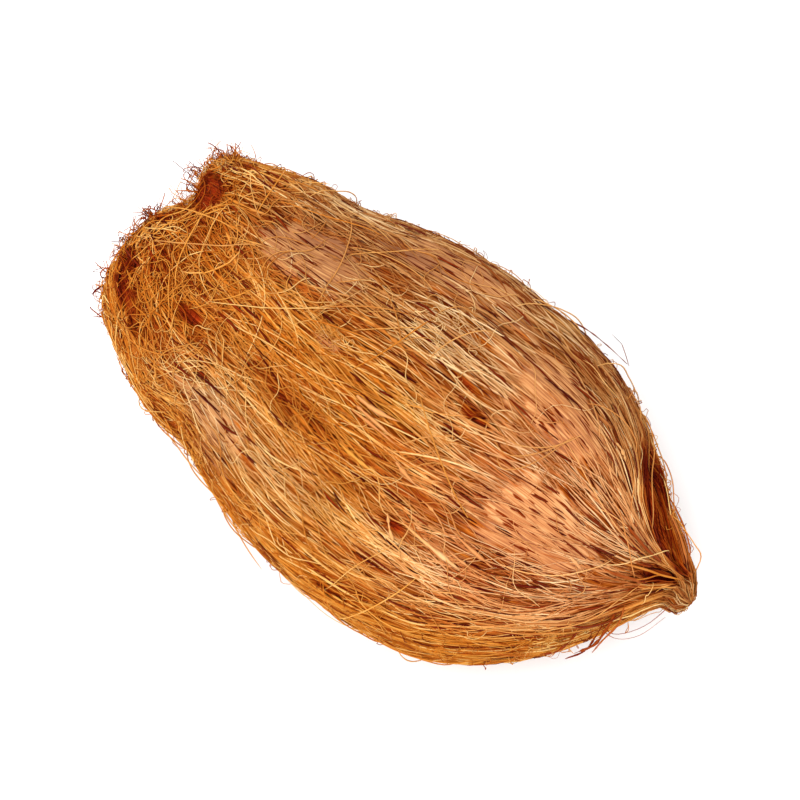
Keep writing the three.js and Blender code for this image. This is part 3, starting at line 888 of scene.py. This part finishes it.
def looseStrands(name, look, sites=None):
    # thin strands that curl over the husk in all directions, most at the stalk end or, where
    # sites are given, in a tangle round each one
    rng = np.random.default_rng(look["seed"])
    count, steps = look["count"], look["steps"]
    if sites is None:
        u, angle = spread(rng, count, looseDensity, curling["first"])
    else:
        site = np.array(sites)[rng.integers(0, len(sites), count)].T
        u = site[0] + site[2] * rng.normal(0, 1, count)
        angle = site[1] + site[3] * rng.normal(0, 1, count)
    shag = shagAt(u, angle)
    around = rng.random(count) < look["around"] * (1 - smooth(*curling["aroundEnd"], u))
    bearing = rng.normal(0, 1, count) * (look["stray"][0] + look["stray"][1] * shag)
    bearing = np.where(around, math.pi / 2 + curling["aroundStray"] * rng.normal(0, 1, count), bearing)
    bearing = bearing + eitherWay(rng, count)
    length = between(look["length"], rng.random(count) ** 1.5)
    bend = rng.normal(0, look["bend"], count) * (0.4 + shag)
    t = np.linspace(0, 1, steps)
    high = between(look["lift"], rng.random(count) ** 1.5)[:, None]
    height = rng.normal(0, curling["wave"][0], count)[:, None]
    waves = t * length[:, None] / curling["waveLength"] + rng.random(count)[:, None]
    bow = np.sin(math.pi * np.clip(t, 0.02, 0.98)) ** 0.5
    lift = between((curling["root"], high), bow) + curling["wave"][1] * height * np.sin(2 * math.pi * waves)
    swirl = rng.normal(0, look["sway"], (count, 4)) @ np.sin(np.outer([1, 2, 3, 4], math.pi * t))
    points, normals, rows, turns = lyingPaths(u, angle, bearing, bend, length, lift, sway=swirl)
    radii = tapered(uneven(rng, look["radius"], curling["unevenness"], count), steps)
    torn = tornAt(rows, turns)
    tone = fibreTones(rng, count, *look["tone"]) + curling["glow"] * glowAt(rows, turns)
    tone = np.clip(tone - curling["toneTorn"] * torn, 0, 1)
    # painted shade, darker low down and in the torn patches
    shade = np.clip(curling["open"] + curling["height"] * lift - curling["torn"] * torn, 0, 1)
    hue = [curling["hue"] * part for part in hueAt(rows, turns)]
    putTubes(name, points, normals, radii, tone, hue, shade)


loose = {
    "seed": 201, "count": 1660, "steps": 15, "length": (8, 38), "radius": 0.125, "lift": (0.1, 1.3),
    "around": 0.45, "stray": (0.25, 0.75), "bend": 1.3, "sway": 0.3, "tone": (0.68, 0.16),
}
looseStrands("looseStrand", loose)

tangled = {
    "seed": 202, "count": 130, "steps": 11, "length": (4, 13), "radius": 0.11, "lift": (0.2, 1.4),
    "around": 0.0, "stray": (1.2, 0.8), "bend": 3.0, "sway": 0.6, "tone": (0.74, 0.14),
}
tangleSites = [  # ring, angle, reach along and round
    (12.1, 1.25, 0.5, 0.10),
    (10.75, 1.6, 0.15, 0.03),
    (8.0, 2.55, 0.5, 0.12),
    (17.6, 2.7, 0.5, 0.12),
]
looseStrands("tangledStrand", tangled, tangleSites)

rimCurl = {
    "seed": 203, "count": 170, "steps": 11, "length": (5, 18), "radius": 0.11, "lift": (0.4, 3.6),
    "around": 0.5, "stray": (1.0, 0.6), "bend": 4.0, "sway": 0.7, "tone": (0.5, 0.2),
}
rimSites = [(4.6, turn, 0.7, 0.25) for turn in np.linspace(0, 2 * math.pi, 12, endpoint=False)]
looseStrands("rimCurl", rimCurl, rimSites)

sideFuzz = {
    "seed": 204, "count": 420, "steps": 7, "length": (2, 8), "radius": 0.1, "lift": (0.5, 2.6),
    "around": 0.3, "stray": (1.5, 0.5), "bend": 2.5, "sway": 0.5, "tone": (0.42, 0.22),
}
fuzzSites = [(ring, turn, 0.8, 0.14) for ring in np.linspace(6, 18, 10) for turn in (0.2, 2.9)]
looseStrands("sideFuzz", sideFuzz, fuzzSites)


def seededDraws(seed, count):
    # the part's own repeatable draws from 0 to 1
    state, draws = seed, []
    for _ in range(count):
        state = (state * 1664525 + 1013904223) & 0xFFFFFFFF
        draws.append(state / 4294967296)
    return np.array(draws)


arching = {
    "count": 46, "steps": 6, "seed": 7, "place": (6.5, 18), "sides": (0.0,), "angle": (-0.75, 3.9),
    "bearing": (-1.2, 1.2), "turnedBack": 0.3, "bend": (-0.9, 0.9), "length": (22, 48), "rise": (1.4, 3.0),
    "radius": 0.17,
}
stray = {
    "count": 15, "steps": 4, "seed": 23, "place": (7, 18), "sides": (0.15, 2.99, 1.57),
    "angle": (-0.45, 0.45), "bearing": (-0.6, 0.6), "turnedBack": 0.5, "bend": (-0.6, 0.6),
    "length": (12, 24), "rise": (2.0, 4.2), "radius": 0.16,
}
sourceTone = (0.5, 0.8)


def sourceStrands(name, look, free):
    # the strands of the part's source, drawn the same way and finer: both ends sunk in the
    # husk, or one end free
    count, steps = look["count"], look["steps"]
    draws = seededDraws(look["seed"], 7 * count).reshape(count, 7).T
    u = between(look["place"], draws[0])
    angle = np.resize(look["sides"], count) + between(look["angle"], draws[1])
    bearing = between(look["bearing"], draws[2]) + np.where(draws[3] < look["turnedBack"], math.pi, 0)
    keys = ("bend", "length", "rise")
    bend, length, rise = (between(look[key], draw) for key, draw in zip(keys, draws[4:]))
    t = np.linspace(0, 1, steps + 1)
    shape = t**0.8 if free else np.maximum(np.sin(math.pi * t), 0) ** 0.45
    lift = between((-strand["sink"], rise[:, None]), shape)
    points, normals, rows, turns = lyingPaths(u, angle, bearing, bend, length, lift, limits=sourceLimits)
    points[..., 2] = np.maximum(points[..., 2], strand["floor"])
    points, normals = denser(points, 4), denser(normals, 4)
    radii = tapered(np.full(count, look["radius"]), points.shape[1])
    tone = between(sourceTone, seededDraws(look["seed"] + 1, count)[:, None])
    hue = [curling["hue"] * part for part in hueAt(rows[:, :1], turns[:, :1])]
    putTubes(name, points, normals, radii, tone, hue, 1.0, sides=4)


sourceStrands("archingStrand", arching, False)
sourceStrands("strayStrand", stray, True)

rimFibre = {
    "brush": {"count": 26, "seed": 41, "place": (3.4, 6), "length": (2.2, 5.2), "curl": (-3, 3)},
    "locks": {"count": 22, "seed": 5, "place": (3.6, 5.6), "length": (3, 5.8), "curl": (-3.5, 3.5)},
    "tufts": (0.55, 2.05), "spread": (-0.28, 0.28), "brushRadius": 0.5, "lockRadius": (1.0, 1.8),
    "lockSpread": 0.7, "hairsInBrush": 3, "hairsInLock": 8, "seed": 301, "way": -0.7, "flare": 0.4,
    "stops": (-0.4, 0.0, 0.36, 0.7), "frizz": (0.8, 0.4), "curlRadius": 1.3, "turns": 6,
    "radius": 0.17, "unevenness": 0.3, "taper": 0.4, "tone": (0.3, 0.2), "lift": (0.25, 0.65),
}


def rimPaths(u, angle, length, curlY, curlZ):
    # from under the rim outwards, curling aside with the square of the way gone
    root = surfaceAt(u, angle)
    out = unit(np.array([rimFibre["way"], 0, 0]) + rimFibre["flare"] * normalAt(u, angle))
    aside = np.stack([np.zeros_like(curlY), curlY, curlZ], -1)
    t = np.array(rimFibre["stops"])[None, :, None]
    return root[:, None] + out[:, None] * length[:, None, None] * t + aside[:, None] * np.maximum(t, 0) ** 2


def rimBunches():
    # ring, angle, length, two curls and width of each bunch, drawn as the part's source does
    brush, locks = rimFibre["brush"], rimFibre["locks"]
    draws = iter(seededDraws(brush["seed"], 6 * brush["count"]).tolist())
    bunches = []
    for k in range(brush["count"]):
        angle = (k + next(draws)) / brush["count"] * 2 * math.pi
        if k % 3:
            angle = rimFibre["tufts"][k % 2] + between(rimFibre["spread"], next(draws))
        row = [between(brush[key], next(draws)) for key in ("place", "length", "curl", "curl")]
        bunches.append([row[0], angle, *row[1:], rimFibre["brushRadius"]])
    draws = iter(seededDraws(locks["seed"], 6 * locks["count"]).tolist())
    for k in range(locks["count"]):
        angle = (k + rimFibre["lockSpread"] * next(draws)) / locks["count"] * 2 * math.pi
        row = [between(locks[key], next(draws)) for key in ("place", "length", "curl", "curl")]
        bunches.append([row[0], angle, *row[1:], between(rimFibre["lockRadius"], next(draws))])
    return np.array(bunches).T


def makeRimFibre():
    # the source's brush and locks round the stalk hollow, each as a bunch of fine curly hairs
    u, angle, length, curlY, curlZ, width = rimBunches()
    paths = rimPaths(u, angle, length, curlY, curlZ)
    bunches = [rimFibre["brush"]["count"], rimFibre["locks"]["count"]]
    hairs = np.repeat([rimFibre["hairsInBrush"], rimFibre["hairsInLock"]], bunches)
    rng = np.random.default_rng(rimFibre["seed"])
    owner = np.repeat(np.arange(len(paths)), hairs)
    count = len(owner)
    t = np.linspace(0, 1, 4)[None, :, None]
    offset = rng.normal(0, 0.5, (count, 1, 3)) * width[owner][:, None, None] * (1 - 0.6 * t)
    whole, each = rimFibre["frizz"]
    frizz = rng.normal(0, whole, (count, 1, 3)) * t**2 + rng.normal(0, each, (count, 4, 3))
    points = denser(paths[owner] + offset + frizz, 3)
    normals = np.repeat(normalAt(u, angle)[owner][:, None], points.shape[1], 1)
    t = np.linspace(0, 1, points.shape[1])
    turn = rng.normal(0, rimFibre["turns"], (count, 1)) * t + 2 * math.pi * rng.random((count, 1))
    curl = rng.normal(0, 1, (2, count, 1, 3)) * np.stack([np.cos(turn), np.sin(turn)])[..., None]
    points = points + rimFibre["curlRadius"] * t[:, None] ** 0.7 * curl.sum(0)
    radius = uneven(rng, rimFibre["radius"], rimFibre["unevenness"], count)
    radii = radius[:, None] * (1 - rimFibre["taper"] * t)
    tone = fibreTones(rng, count, *rimFibre["tone"])
    # painted shade, darker towards the roots under the rim
    shade = np.clip(between(rimFibre["lift"], t) + rng.normal(0, 0.1, (count, 1)), 0, 1)
    putTubes("rimFibre", points, normals, radii, tone, (0, 0), shade)


makeRimFibre()

tuft = {
    "seed": 302, "count": 1000, "steps": 8, "length": (1.5, 5.2), "radius": 0.12, "curl": 0.65,
    "rim": (2.4, 6.8), "hollow": (0.4, 3.2), "hollowShare": 0.35, "hollowLength": (5, 16),
    "notch": (0.6, 2.0), "notchSpread": 0.35, "way": -0.1, "flare": 0.2, "stray": 0.5, "flat": 0.7,
    "sunk": 0.9, "clear": 0.3, "unevenness": 0.25, "taper": 0.6, "tone": (0.6, 0.2),
    "lift": (0.05, 0.4), "rimLift": 0.4, "rimRamp": (2.2, 6), "torn": 0.4,
}


def makeStalkTuft():
    # short cut hairs that curl by an even turn at each step, on the rim and across the hollow
    rng = np.random.default_rng(tuft["seed"])
    count, steps = tuft["count"], tuft["steps"]
    inside = rng.random(count) < tuft["hollowShare"]
    u = np.where(inside, between(tuft["hollow"], rng.random(count)), between(tuft["rim"], rng.random(count)))
    gathered = rng.choice(tuft["notch"], count) + rng.normal(0, tuft["notchSpread"], count)
    angle = np.where(inside | (rng.random(count) < 0.5), 2 * math.pi * rng.random(count), gathered)
    place = surfaceAt(u, angle)
    away = normalAt(u, angle)
    aside = rng.normal(0, tuft["stray"], (count, 3))
    aside = aside - away * np.sum(aside * away, -1, keepdims=True) * tuft["flat"]
    way = unit(np.array([tuft["way"], 0, 0]) + tuft["flare"] * away + aside)
    axis = unit(rng.normal(0, 1, (count, 3)))
    short = between(tuft["length"], rng.random(count) ** 1.8)
    length = np.where(inside, between(tuft["hollowLength"], rng.random(count)), short)
    turn = rng.normal(0, tuft["curl"], count)[:, None] * np.where(inside, 0.5, 1)[:, None]
    points = []
    for k in range(steps):
        points.append(place)
        place = place + way * (length / (steps - 1))[:, None]
        along = axis * np.sum(axis * way, -1, keepdims=True)
        way = along + (way - along) * np.cos(turn) + np.cross(axis, way) * np.sin(turn)
    points = keptIn(np.stack(points, 1) - away[:, None] * tuft["sunk"])
    t = np.linspace(0, 1, steps)
    radii = uneven(rng, tuft["radius"], tuft["unevenness"], count)[:, None] * (1 - tuft["taper"] * t)
    # painted shade, darker at the roots, down in the hollow and in the torn patches
    opened = tuft["rimLift"] * smooth(*tuft["rimRamp"], u) - tuft["torn"] * tornAt(u, angle)
    shade = np.clip(between(tuft["lift"], t) + opened[:, None], 0, 1)
    normals = np.repeat(away[:, None], steps, 1)
    putTubes("stalkTuft", points, normals, radii, fibreTones(rng, count, *tuft["tone"]), (0, 0), shade)


def keptIn(points):
    # hairs that would pass the end of the part's box are drawn in towards their roots
    outside = cadBox[0][0] / mm + tuft["clear"]
    start = points[:, :1]
    furthest = np.maximum(start[..., 0] - points[..., 0].min(1, keepdims=True), 1e-6)
    return start + (points - start) * np.clip((start[..., 0] - outside) / furthest, 0, 1)[..., None]


makeStalkTuft()

straps = {
    "angle": (0.02, 0.2, 0.42, 1.25, 1.75, 2.5, -0.6), "place": 17.2, "length": 24.0, "radius": 0.45,
    "flat": 0.4, "root": -1.5, "rise": (2.6, 0.5), "bend": 0.05, "seed": 401,
    "beside": [(0.0, 1.0), (0.07, 0.45), (-0.08, 0.35), (0.13, 0.25)],
    "tone": (0.38, 0.18), "hue": (0.4, 0.2), "lift": 0.5,
}


def makeTipStraps():
    # the source's straps, which bow out over the cleft and run into the tip, each as a flat
    # band with finer ones beside it
    angle = np.array(straps["angle"])
    k = np.arange(len(angle))
    bow = np.maximum(np.sin(math.pi * np.linspace(0, 1, 7)), 0) ** 0.5
    lift = straps["root"] + (straps["rise"][0] + straps["rise"][1] * (k % 2))[:, None] * bow
    u = straps["place"] + 0.25 * (k % 3)
    length = straps["length"] - 2.0 * (k % 3)
    points, normals, radius = [], [], []
    for shift, share in straps["beside"]:
        bend = np.full(len(k), straps["bend"])
        height = lift * (0.4 + 0.6 * share)
        path = lyingPaths(u, angle + shift, 0 * bend, bend, length, height, limits=sourceLimits)
        points.append(denser(path[0], 3))
        normals.append(denser(path[1], 3))
        radius.append(np.full(len(k), straps["radius"] * share))
    points, normals, radius = (np.concatenate(part) for part in (points, normals, radius))
    tone = fibreTones(np.random.default_rng(straps["seed"]), len(radius), *straps["tone"])
    radii = tapered(radius, points.shape[1])
    shape = {"sides": 6, "flat": straps["flat"]}
    putTubes("tipStrap", points, normals, radii, tone, straps["hue"], straps["lift"], **shape)


makeTipStraps()

shreds = {
    "seed": 501, "count": 240, "steps": 12, "length": (5, 20), "radius": (0.25, 0.6), "flat": 0.22,
    "rings": (5.0, 19.5), "least": 0.3, "stray": 0.16, "bend": 0.3, "lift": (0.2, 0.8), "sunk": 0.1,
    "ragged": 0.45, "width": (0.25, 1.7), "thinEnd": 0.1, "tone": (0.55, 0.12),
    "chipRise": 0.9, "chipPink": 0.6,
    "chips": [  # in the middle: ring, angle, bearing, length, radius
        [11.7, 1.76, 0.1, 13, 0.6],
        [11.8, 1.8, 0.04, 12, 0.5],
        [11.75, 1.83, -0.02, 15, 0.35],
        [13.6, 2.24, 3.85, 7, 0.5],
        [12.9, 1.9, 0.3, 8, 0.5],
    ],
}


def makeShreds():
    # flat torn ribbons of husk that lie among the fibres, the first few placed as chips
    rng = np.random.default_rng(shreds["seed"])
    count, steps = shreds["count"], shreds["steps"]

    def density(u, angle):
        return (shreds["least"] + shagAt(u, angle)) * (1 - gapeAt(u, angle))

    u, angle = spread(rng, count, density, *shreds["rings"])
    bearing = rng.normal(0, shreds["stray"], count) + eitherWay(rng, count)
    length = between(shreds["length"], rng.random(count) ** 1.5)
    radius = between(shreds["radius"], rng.random(count) ** 2)
    chips = slice(0, len(shreds["chips"]))
    u[chips], angle[chips], bearing[chips], length[chips], radius[chips] = np.array(shreds["chips"]).T
    t = np.linspace(0, 1, steps)
    bow = np.sin(math.pi * np.clip(t, 0.05, 0.95)) ** 0.4
    lift = between(shreds["lift"], rng.random(count))[:, None] * bow - shreds["sunk"]
    lift[chips] += shreds["chipRise"]
    bend = rng.normal(0, shreds["bend"], count)
    points, normals, rows, turns = lyingPaths(u, angle, bearing, bend, length, lift)
    ragged = np.clip(1 + shreds["ragged"] * rng.normal(0, 1, (count, steps)), *shreds["width"])
    full = ragged * np.sin(math.pi * np.clip(t, 0.03, 0.99) ** 0.7) ** 0.8
    width = radius[:, None] * between((shreds["thinEnd"], 1), full)
    grey, pink = hueAt(rows, turns)
    pink[chips] = np.maximum(pink[chips], shreds["chipPink"])
    tone = fibreTones(rng, count, *shreds["tone"])
    shape = {"sides": 4, "flat": shreds["flat"]}
    putTubes("huskShred", points, normals, width, tone, (grey, pink), 1.0, **shape)


makeShreds()

partings = {
    "seed": 601, "count": 1500, "steps": 5, "length": (2.5, 13), "radius": (0.17, 0.5), "flat": 0.3,
    "lift": (0.1, 0.75), "rings": (3.4, 20.0), "clump": 1.1, "slim": 12, "droop": 0.3, "looseness": 0.05,
    "bend": 0.1, "thinEnd": 0.15, "tone": (0.32, 0.14), "dark": (0.04, 0.2), "grey": 0.5,
    "bare": -0.3, "greyer": 0.8, "rim": 1.2, "rimEnd": (4, 7),
}


def makePartingShade():
    # painted shade where the fibres have parted, as short dark red slivers along them
    rng = np.random.default_rng(partings["seed"])
    count, steps = partings["count"], partings["steps"]

    def density(u, angle):
        far = shading["farEdge"]
        grey = hueAt(u, angle)[0]
        edge = smooth(*far["ramp"], facing(angle, far["angle"]))
        # more of the painted shade on the greyer side, at the far edge and at the rim
        more = partings["greyer"] * grey + edge + partings["rim"] * (1 - smooth(*partings["rimEnd"], u))
        return (1 + partings["bare"] * highestOval(bareSkin, u, angle)) * (1 + more)

    u, angle = spread(rng, count, density, *partings["rings"])
    bearing = combed(rng, u, angle, partings["looseness"])
    length = between(partings["length"], rng.random(count) ** 1.6)
    radius = np.minimum(between(partings["radius"], rng.random(count) ** 1.5), length / partings["slim"])
    t = np.linspace(0, 1, steps)
    lift = between(partings["lift"], rng.random(count))[:, None] - partings["droop"] * np.abs(2 * t - 1) ** 2
    bend = rng.normal(0, partings["bend"], count)
    points, normals, rows, turns = lyingPaths(u, angle, bearing, bend, length, lift)
    points = points + normals * (partings["clump"] * clumped(rows, turns))[..., None]
    full = np.sin(math.pi * np.clip(t, 0.04, 0.96)) ** 0.7
    width = radius[:, None] * between((partings["thinEnd"], 1), full)
    grey, pink = hueAt(rows, turns)
    dark = between(partings["dark"], rng.random((count, 1)))
    tone = fibreTones(rng, count, *partings["tone"])
    hue = (partings["grey"] * grey, pink)
    putTubes("paintedPartingShade", points, normals, width, tone, hue, dark, flat=partings["flat"])


makePartingShade()

crossing = {
    "steps": 16, "waver": (0.03, 9), "root": -0.5, "rise": 1.9, "flat": 0.6, "hue": 0.4,
    "courses": [  # ring and angle at each end, bow, tone, radius
        (17.45, 1.74, 19.08, 0.95, 0.13, 0.95, 0.19),
        (8.05, 1.9, 10.52, 1.42, 0.05, 0.9, 0.17),
        (12.9, 2.9, 13.75, 2.15, -0.03, 0.8, 0.17),
        (9.9, 1.1, 11.2, 0.6, 0.04, 0.75, 0.17),
        (10.9, 1.5, 12.4, 1.2, -0.05, 0.8, 0.17),
        (19.25, 1.8, 19.33, 2.5, 0.0, 0.9, 0.17),
        (17.9, 1.6, 20.2, 1.45, 0.0, 0.52, 0.4),
        (18.2, 1.8, 20.2, 1.72, 0.0, 0.4, 0.25),
        (13.9, 1.5, 15.3, 1.05, 0.2, 0.7, 0.17),
        (14.0, 1.44, 15.4, 1.02, 0.16, 0.75, 0.17),
        (14.1, 1.55, 15.2, 1.12, 0.22, 0.65, 0.17),
    ],
}


def makeCrossing():
    # strands that show in front, each a straight course in ring and angle over the plain
    # skin, bowed aside by a sine and lifted clear
    columns = np.array(crossing["courses"]).T
    first, start, last, stop, bow, tone = columns[:6, :, None]
    t = np.linspace(0, 1, crossing["steps"])
    swing, rate = crossing["waver"]
    u = first + (last - first) * t + swing * np.sin(rate * t + first)
    angle = start + (stop - start) * t + bow * np.sin(math.pi * t)
    away = normalAt(u, angle)
    lift = crossing["root"] + crossing["rise"] * np.maximum(np.sin(math.pi * t), 0) ** 0.4
    points = skinAt(u, angle) + away * lift[:, None]
    hue = [crossing["hue"] * part for part in hueAt(u, angle)]
    radii = tapered(columns[6], crossing["steps"])
    putTubes("crossingStrand", points, away, radii, tone, hue, 1.0, flat=crossing["flat"])


makeCrossing()

hanging = {
    "seed": 801, "ragged": 0.4, "width": (0.3, 1.6), "wide": 0.3, "thinEnd": 0.4,
    "hue": (0.2, 0.2), "lift": 0.45,
    "courses": [  # radius, tone, then ring, angle and lift at four places along
        (0.8, 0.25, [(18.9, 2.45, -0.6), (18.6, 2.58, 2.6), (18.3, 2.66, 5.0), (17.9, 2.7, 5.6)]),
        (0.55, 0.1, [(18.7, 2.5, -0.6), (18.4, 2.62, 3.0), (18.1, 2.7, 5.6), (17.7, 2.72, 6.4)]),
        (0.5, 0.4, [(19.0, 2.35, -0.6), (18.8, 2.5, 3.0), (18.45, 2.6, 5.0), (18.2, 2.64, 7.0)]),
        (0.65, 0.15, [(18.2, 2.66, -0.6), (17.9, 2.74, 2.0), (17.6, 2.8, 3.4), (17.3, 2.82, 3.0)]),
        (0.2, 0.2, [(18.5, 2.5, -0.6), (18.7, 2.6, 4.2), (19.3, 2.54, 5.4), (19.9, 2.4, 5.0)]),
        (0.16, 0.3, [(18.4, 2.55, -0.6), (18.7, 2.64, 5.0), (19.2, 2.62, 6.6), (19.6, 2.44, 7.4)]),
        (0.16, 0.5, [(16.2, 2.8, -0.6), (16.6, 2.85, 1.4), (17.0, 2.86, 2.2), (17.3, 2.84, 1.2)]),
        (0.36, 0.1, [(13.0, 0.42, -0.6), (13.7, 0.36, 1.8), (14.2, 0.32, 3.0), (14.75, 0.3, 4.2)]),
        (0.26, 0.1, [(14.8, 0.3, 4.2), (14.6, 0.3, 5.2), (14.35, 0.31, 6.4), (14.1, 0.33, 7.6)]),
    ],
}


def makeTorn():
    # shreds that hang clear, each a curve through its four places, the wide ones ragged
    radius, tone, places = zip(*hanging["courses"])
    radius, tone = np.array(radius), np.array(tone)[:, None]
    u, angle, lift = np.moveaxis(np.array(places), -1, 0)
    away = normalAt(u, angle)
    points = denser(surfaceAt(u, angle) + away * lift[..., None], 5)
    away = denser(away, 5)
    draws = np.random.default_rng(hanging["seed"]).normal(0, 1, points.shape[:2])
    ragged = np.clip(1 + hanging["ragged"] * draws, *hanging["width"])
    ragged = np.where(radius[:, None] > hanging["wide"], ragged, 1)
    radii = tapered(radius, points.shape[1], hanging["thinEnd"]) * ragged
    putTubes("tornShred", points, away, radii, tone, hanging["hue"], hanging["lift"], sides=4, flat=0.4)


makeTorn()

cleftFibre = {
    "seed": 701, "count": 80, "steps": 10, "first": (16.2, 18.6), "along": (0.8, 2.2), "reach": (0.096, 0.06),
    "lift": (-0.3, 1.6), "sunk": 0.3, "radius": 0.2, "unevenness": 0.25, "tone": (0.1, 0.12),
    "dark": (0.22, 0.57),
}


def makeCleftFibre():
    # dark red fibres along the inside of the cleft, darkened with painted shade, each on a straight course in
    # ring and angle
    rng = np.random.default_rng(cleftFibre["seed"])
    count = cleftFibre["count"]
    t = np.linspace(0, 1, cleftFibre["steps"])
    first = between(cleftFibre["first"], rng.random((count, 1)))
    u = first + between(cleftFibre["along"], rng.random((count, 1))) * t
    across, skew = (reach * rng.normal(0, 1, (count, 1)) for reach in cleftFibre["reach"])
    angle = cleft["angle"] + cleft["drift"] * (u - cleft["start"]) + across + skew * t
    away = normalAt(u, angle)
    bow = np.sin(math.pi * np.clip(t, 0.05, 0.95))
    lift = between(cleftFibre["lift"], rng.random((count, 1)) ** 2) * bow - cleftFibre["sunk"]
    points = surfaceAt(u, angle) + away * lift[..., None]
    radii = tapered(uneven(rng, cleftFibre["radius"], cleftFibre["unevenness"], count), len(t))
    dark = between(cleftFibre["dark"], rng.random((count, 1)) ** 2)
    putTubes("cleftFibre", points, away, radii, fibreTones(rng, count, *cleftFibre["tone"]), (0, 0), dark)


makeCleftFibre()
print("loose fibre ready")


stage = {"floor": 4.0, "colour": (0.92, 0.92, 0.92, 1), "roughness": 0.8, "specular": 0.1, "world": 1.0}


def makeFloor():
    half = stage["floor"] / 2
    corners = [(-half, -half, 0), (half, -half, 0), (half, half, 0), (-half, half, 0)]
    mesh = bpy.data.meshes.new("floor")
    mesh.from_pydata(corners, [], [(0, 1, 2, 3)])
    material, tree, shader = startMaterial("paleFloor", stage["roughness"], stage["specular"])
    shader.inputs["Base Color"].default_value = stage["colour"]
    mesh.materials.append(material)
    floor = bpy.data.objects.new("floor", mesh)
    scene.collection.objects.link(floor)


camera = {
    "azimuth": 37.6, "elevation": 75.0, "distance": 0.95, "lens": 162.2, "sensor": 36.0,
    "aim": (0.13, 4.81), "height": 46.0,
}


def viewAxes(azimuth, elevation):
    # right, up and back of a camera that looks down at an elevation, turned by an azimuth
    a, e = math.radians(azimuth), math.radians(elevation)
    right = Vector((math.cos(a), math.sin(a), 0))
    up = Vector((-math.sin(a) * math.sin(e), math.cos(a) * math.sin(e), math.cos(e)))
    return right, up, right.cross(up)


def makeCamera():
    right, up, back = viewAxes(camera["azimuth"], camera["elevation"])
    middle = Vector(husk["middle"].tolist())
    aim = Vector((0, 0, camera["height"])) + right * camera["aim"][0] + up * camera["aim"][1] - middle
    data = bpy.data.cameras.new("camera")
    data.sensor_width = camera["sensor"]
    data.lens = camera["lens"]
    data.clip_start = 0.01
    eye = bpy.data.objects.new("camera", data)
    eye.location = aim * mm + back * camera["distance"]
    eye.rotation_euler = back.to_track_quat("Z", "Y").to_euler()
    scene.collection.objects.link(eye)
    scene.camera = eye


lamps = {  # place from the coconut in metres, size in metres, watts
    "key": ((0.0, -0.45, 1.5), 1.0, 22.4),
    "fill": ((-0.9, 0.3, 1.2), 1.4, 3.0),
}
lampAim = Vector((0, 0, 0.05))


def makeLight():
    world = bpy.data.worlds.new("studio")
    world.use_nodes = True
    scene.world = world
    sky = world.node_tree.nodes["Background"]
    sky.inputs["Color"].default_value = white
    sky.inputs["Strength"].default_value = stage["world"]
    for name, (place, size, watts) in lamps.items():
        data = bpy.data.lights.new(name, "AREA")
        data.size = size
        data.energy = watts
        lamp = bpy.data.objects.new(name, data)
        lamp.location = place
        lamp.rotation_euler = (Vector(place) - lampAim).to_track_quat("Z", "Y").to_euler()
        scene.collection.objects.link(lamp)


makeFloor()
makeCamera()
makeLight()
scene.view_settings.view_transform = "Standard"
print("stage ready")
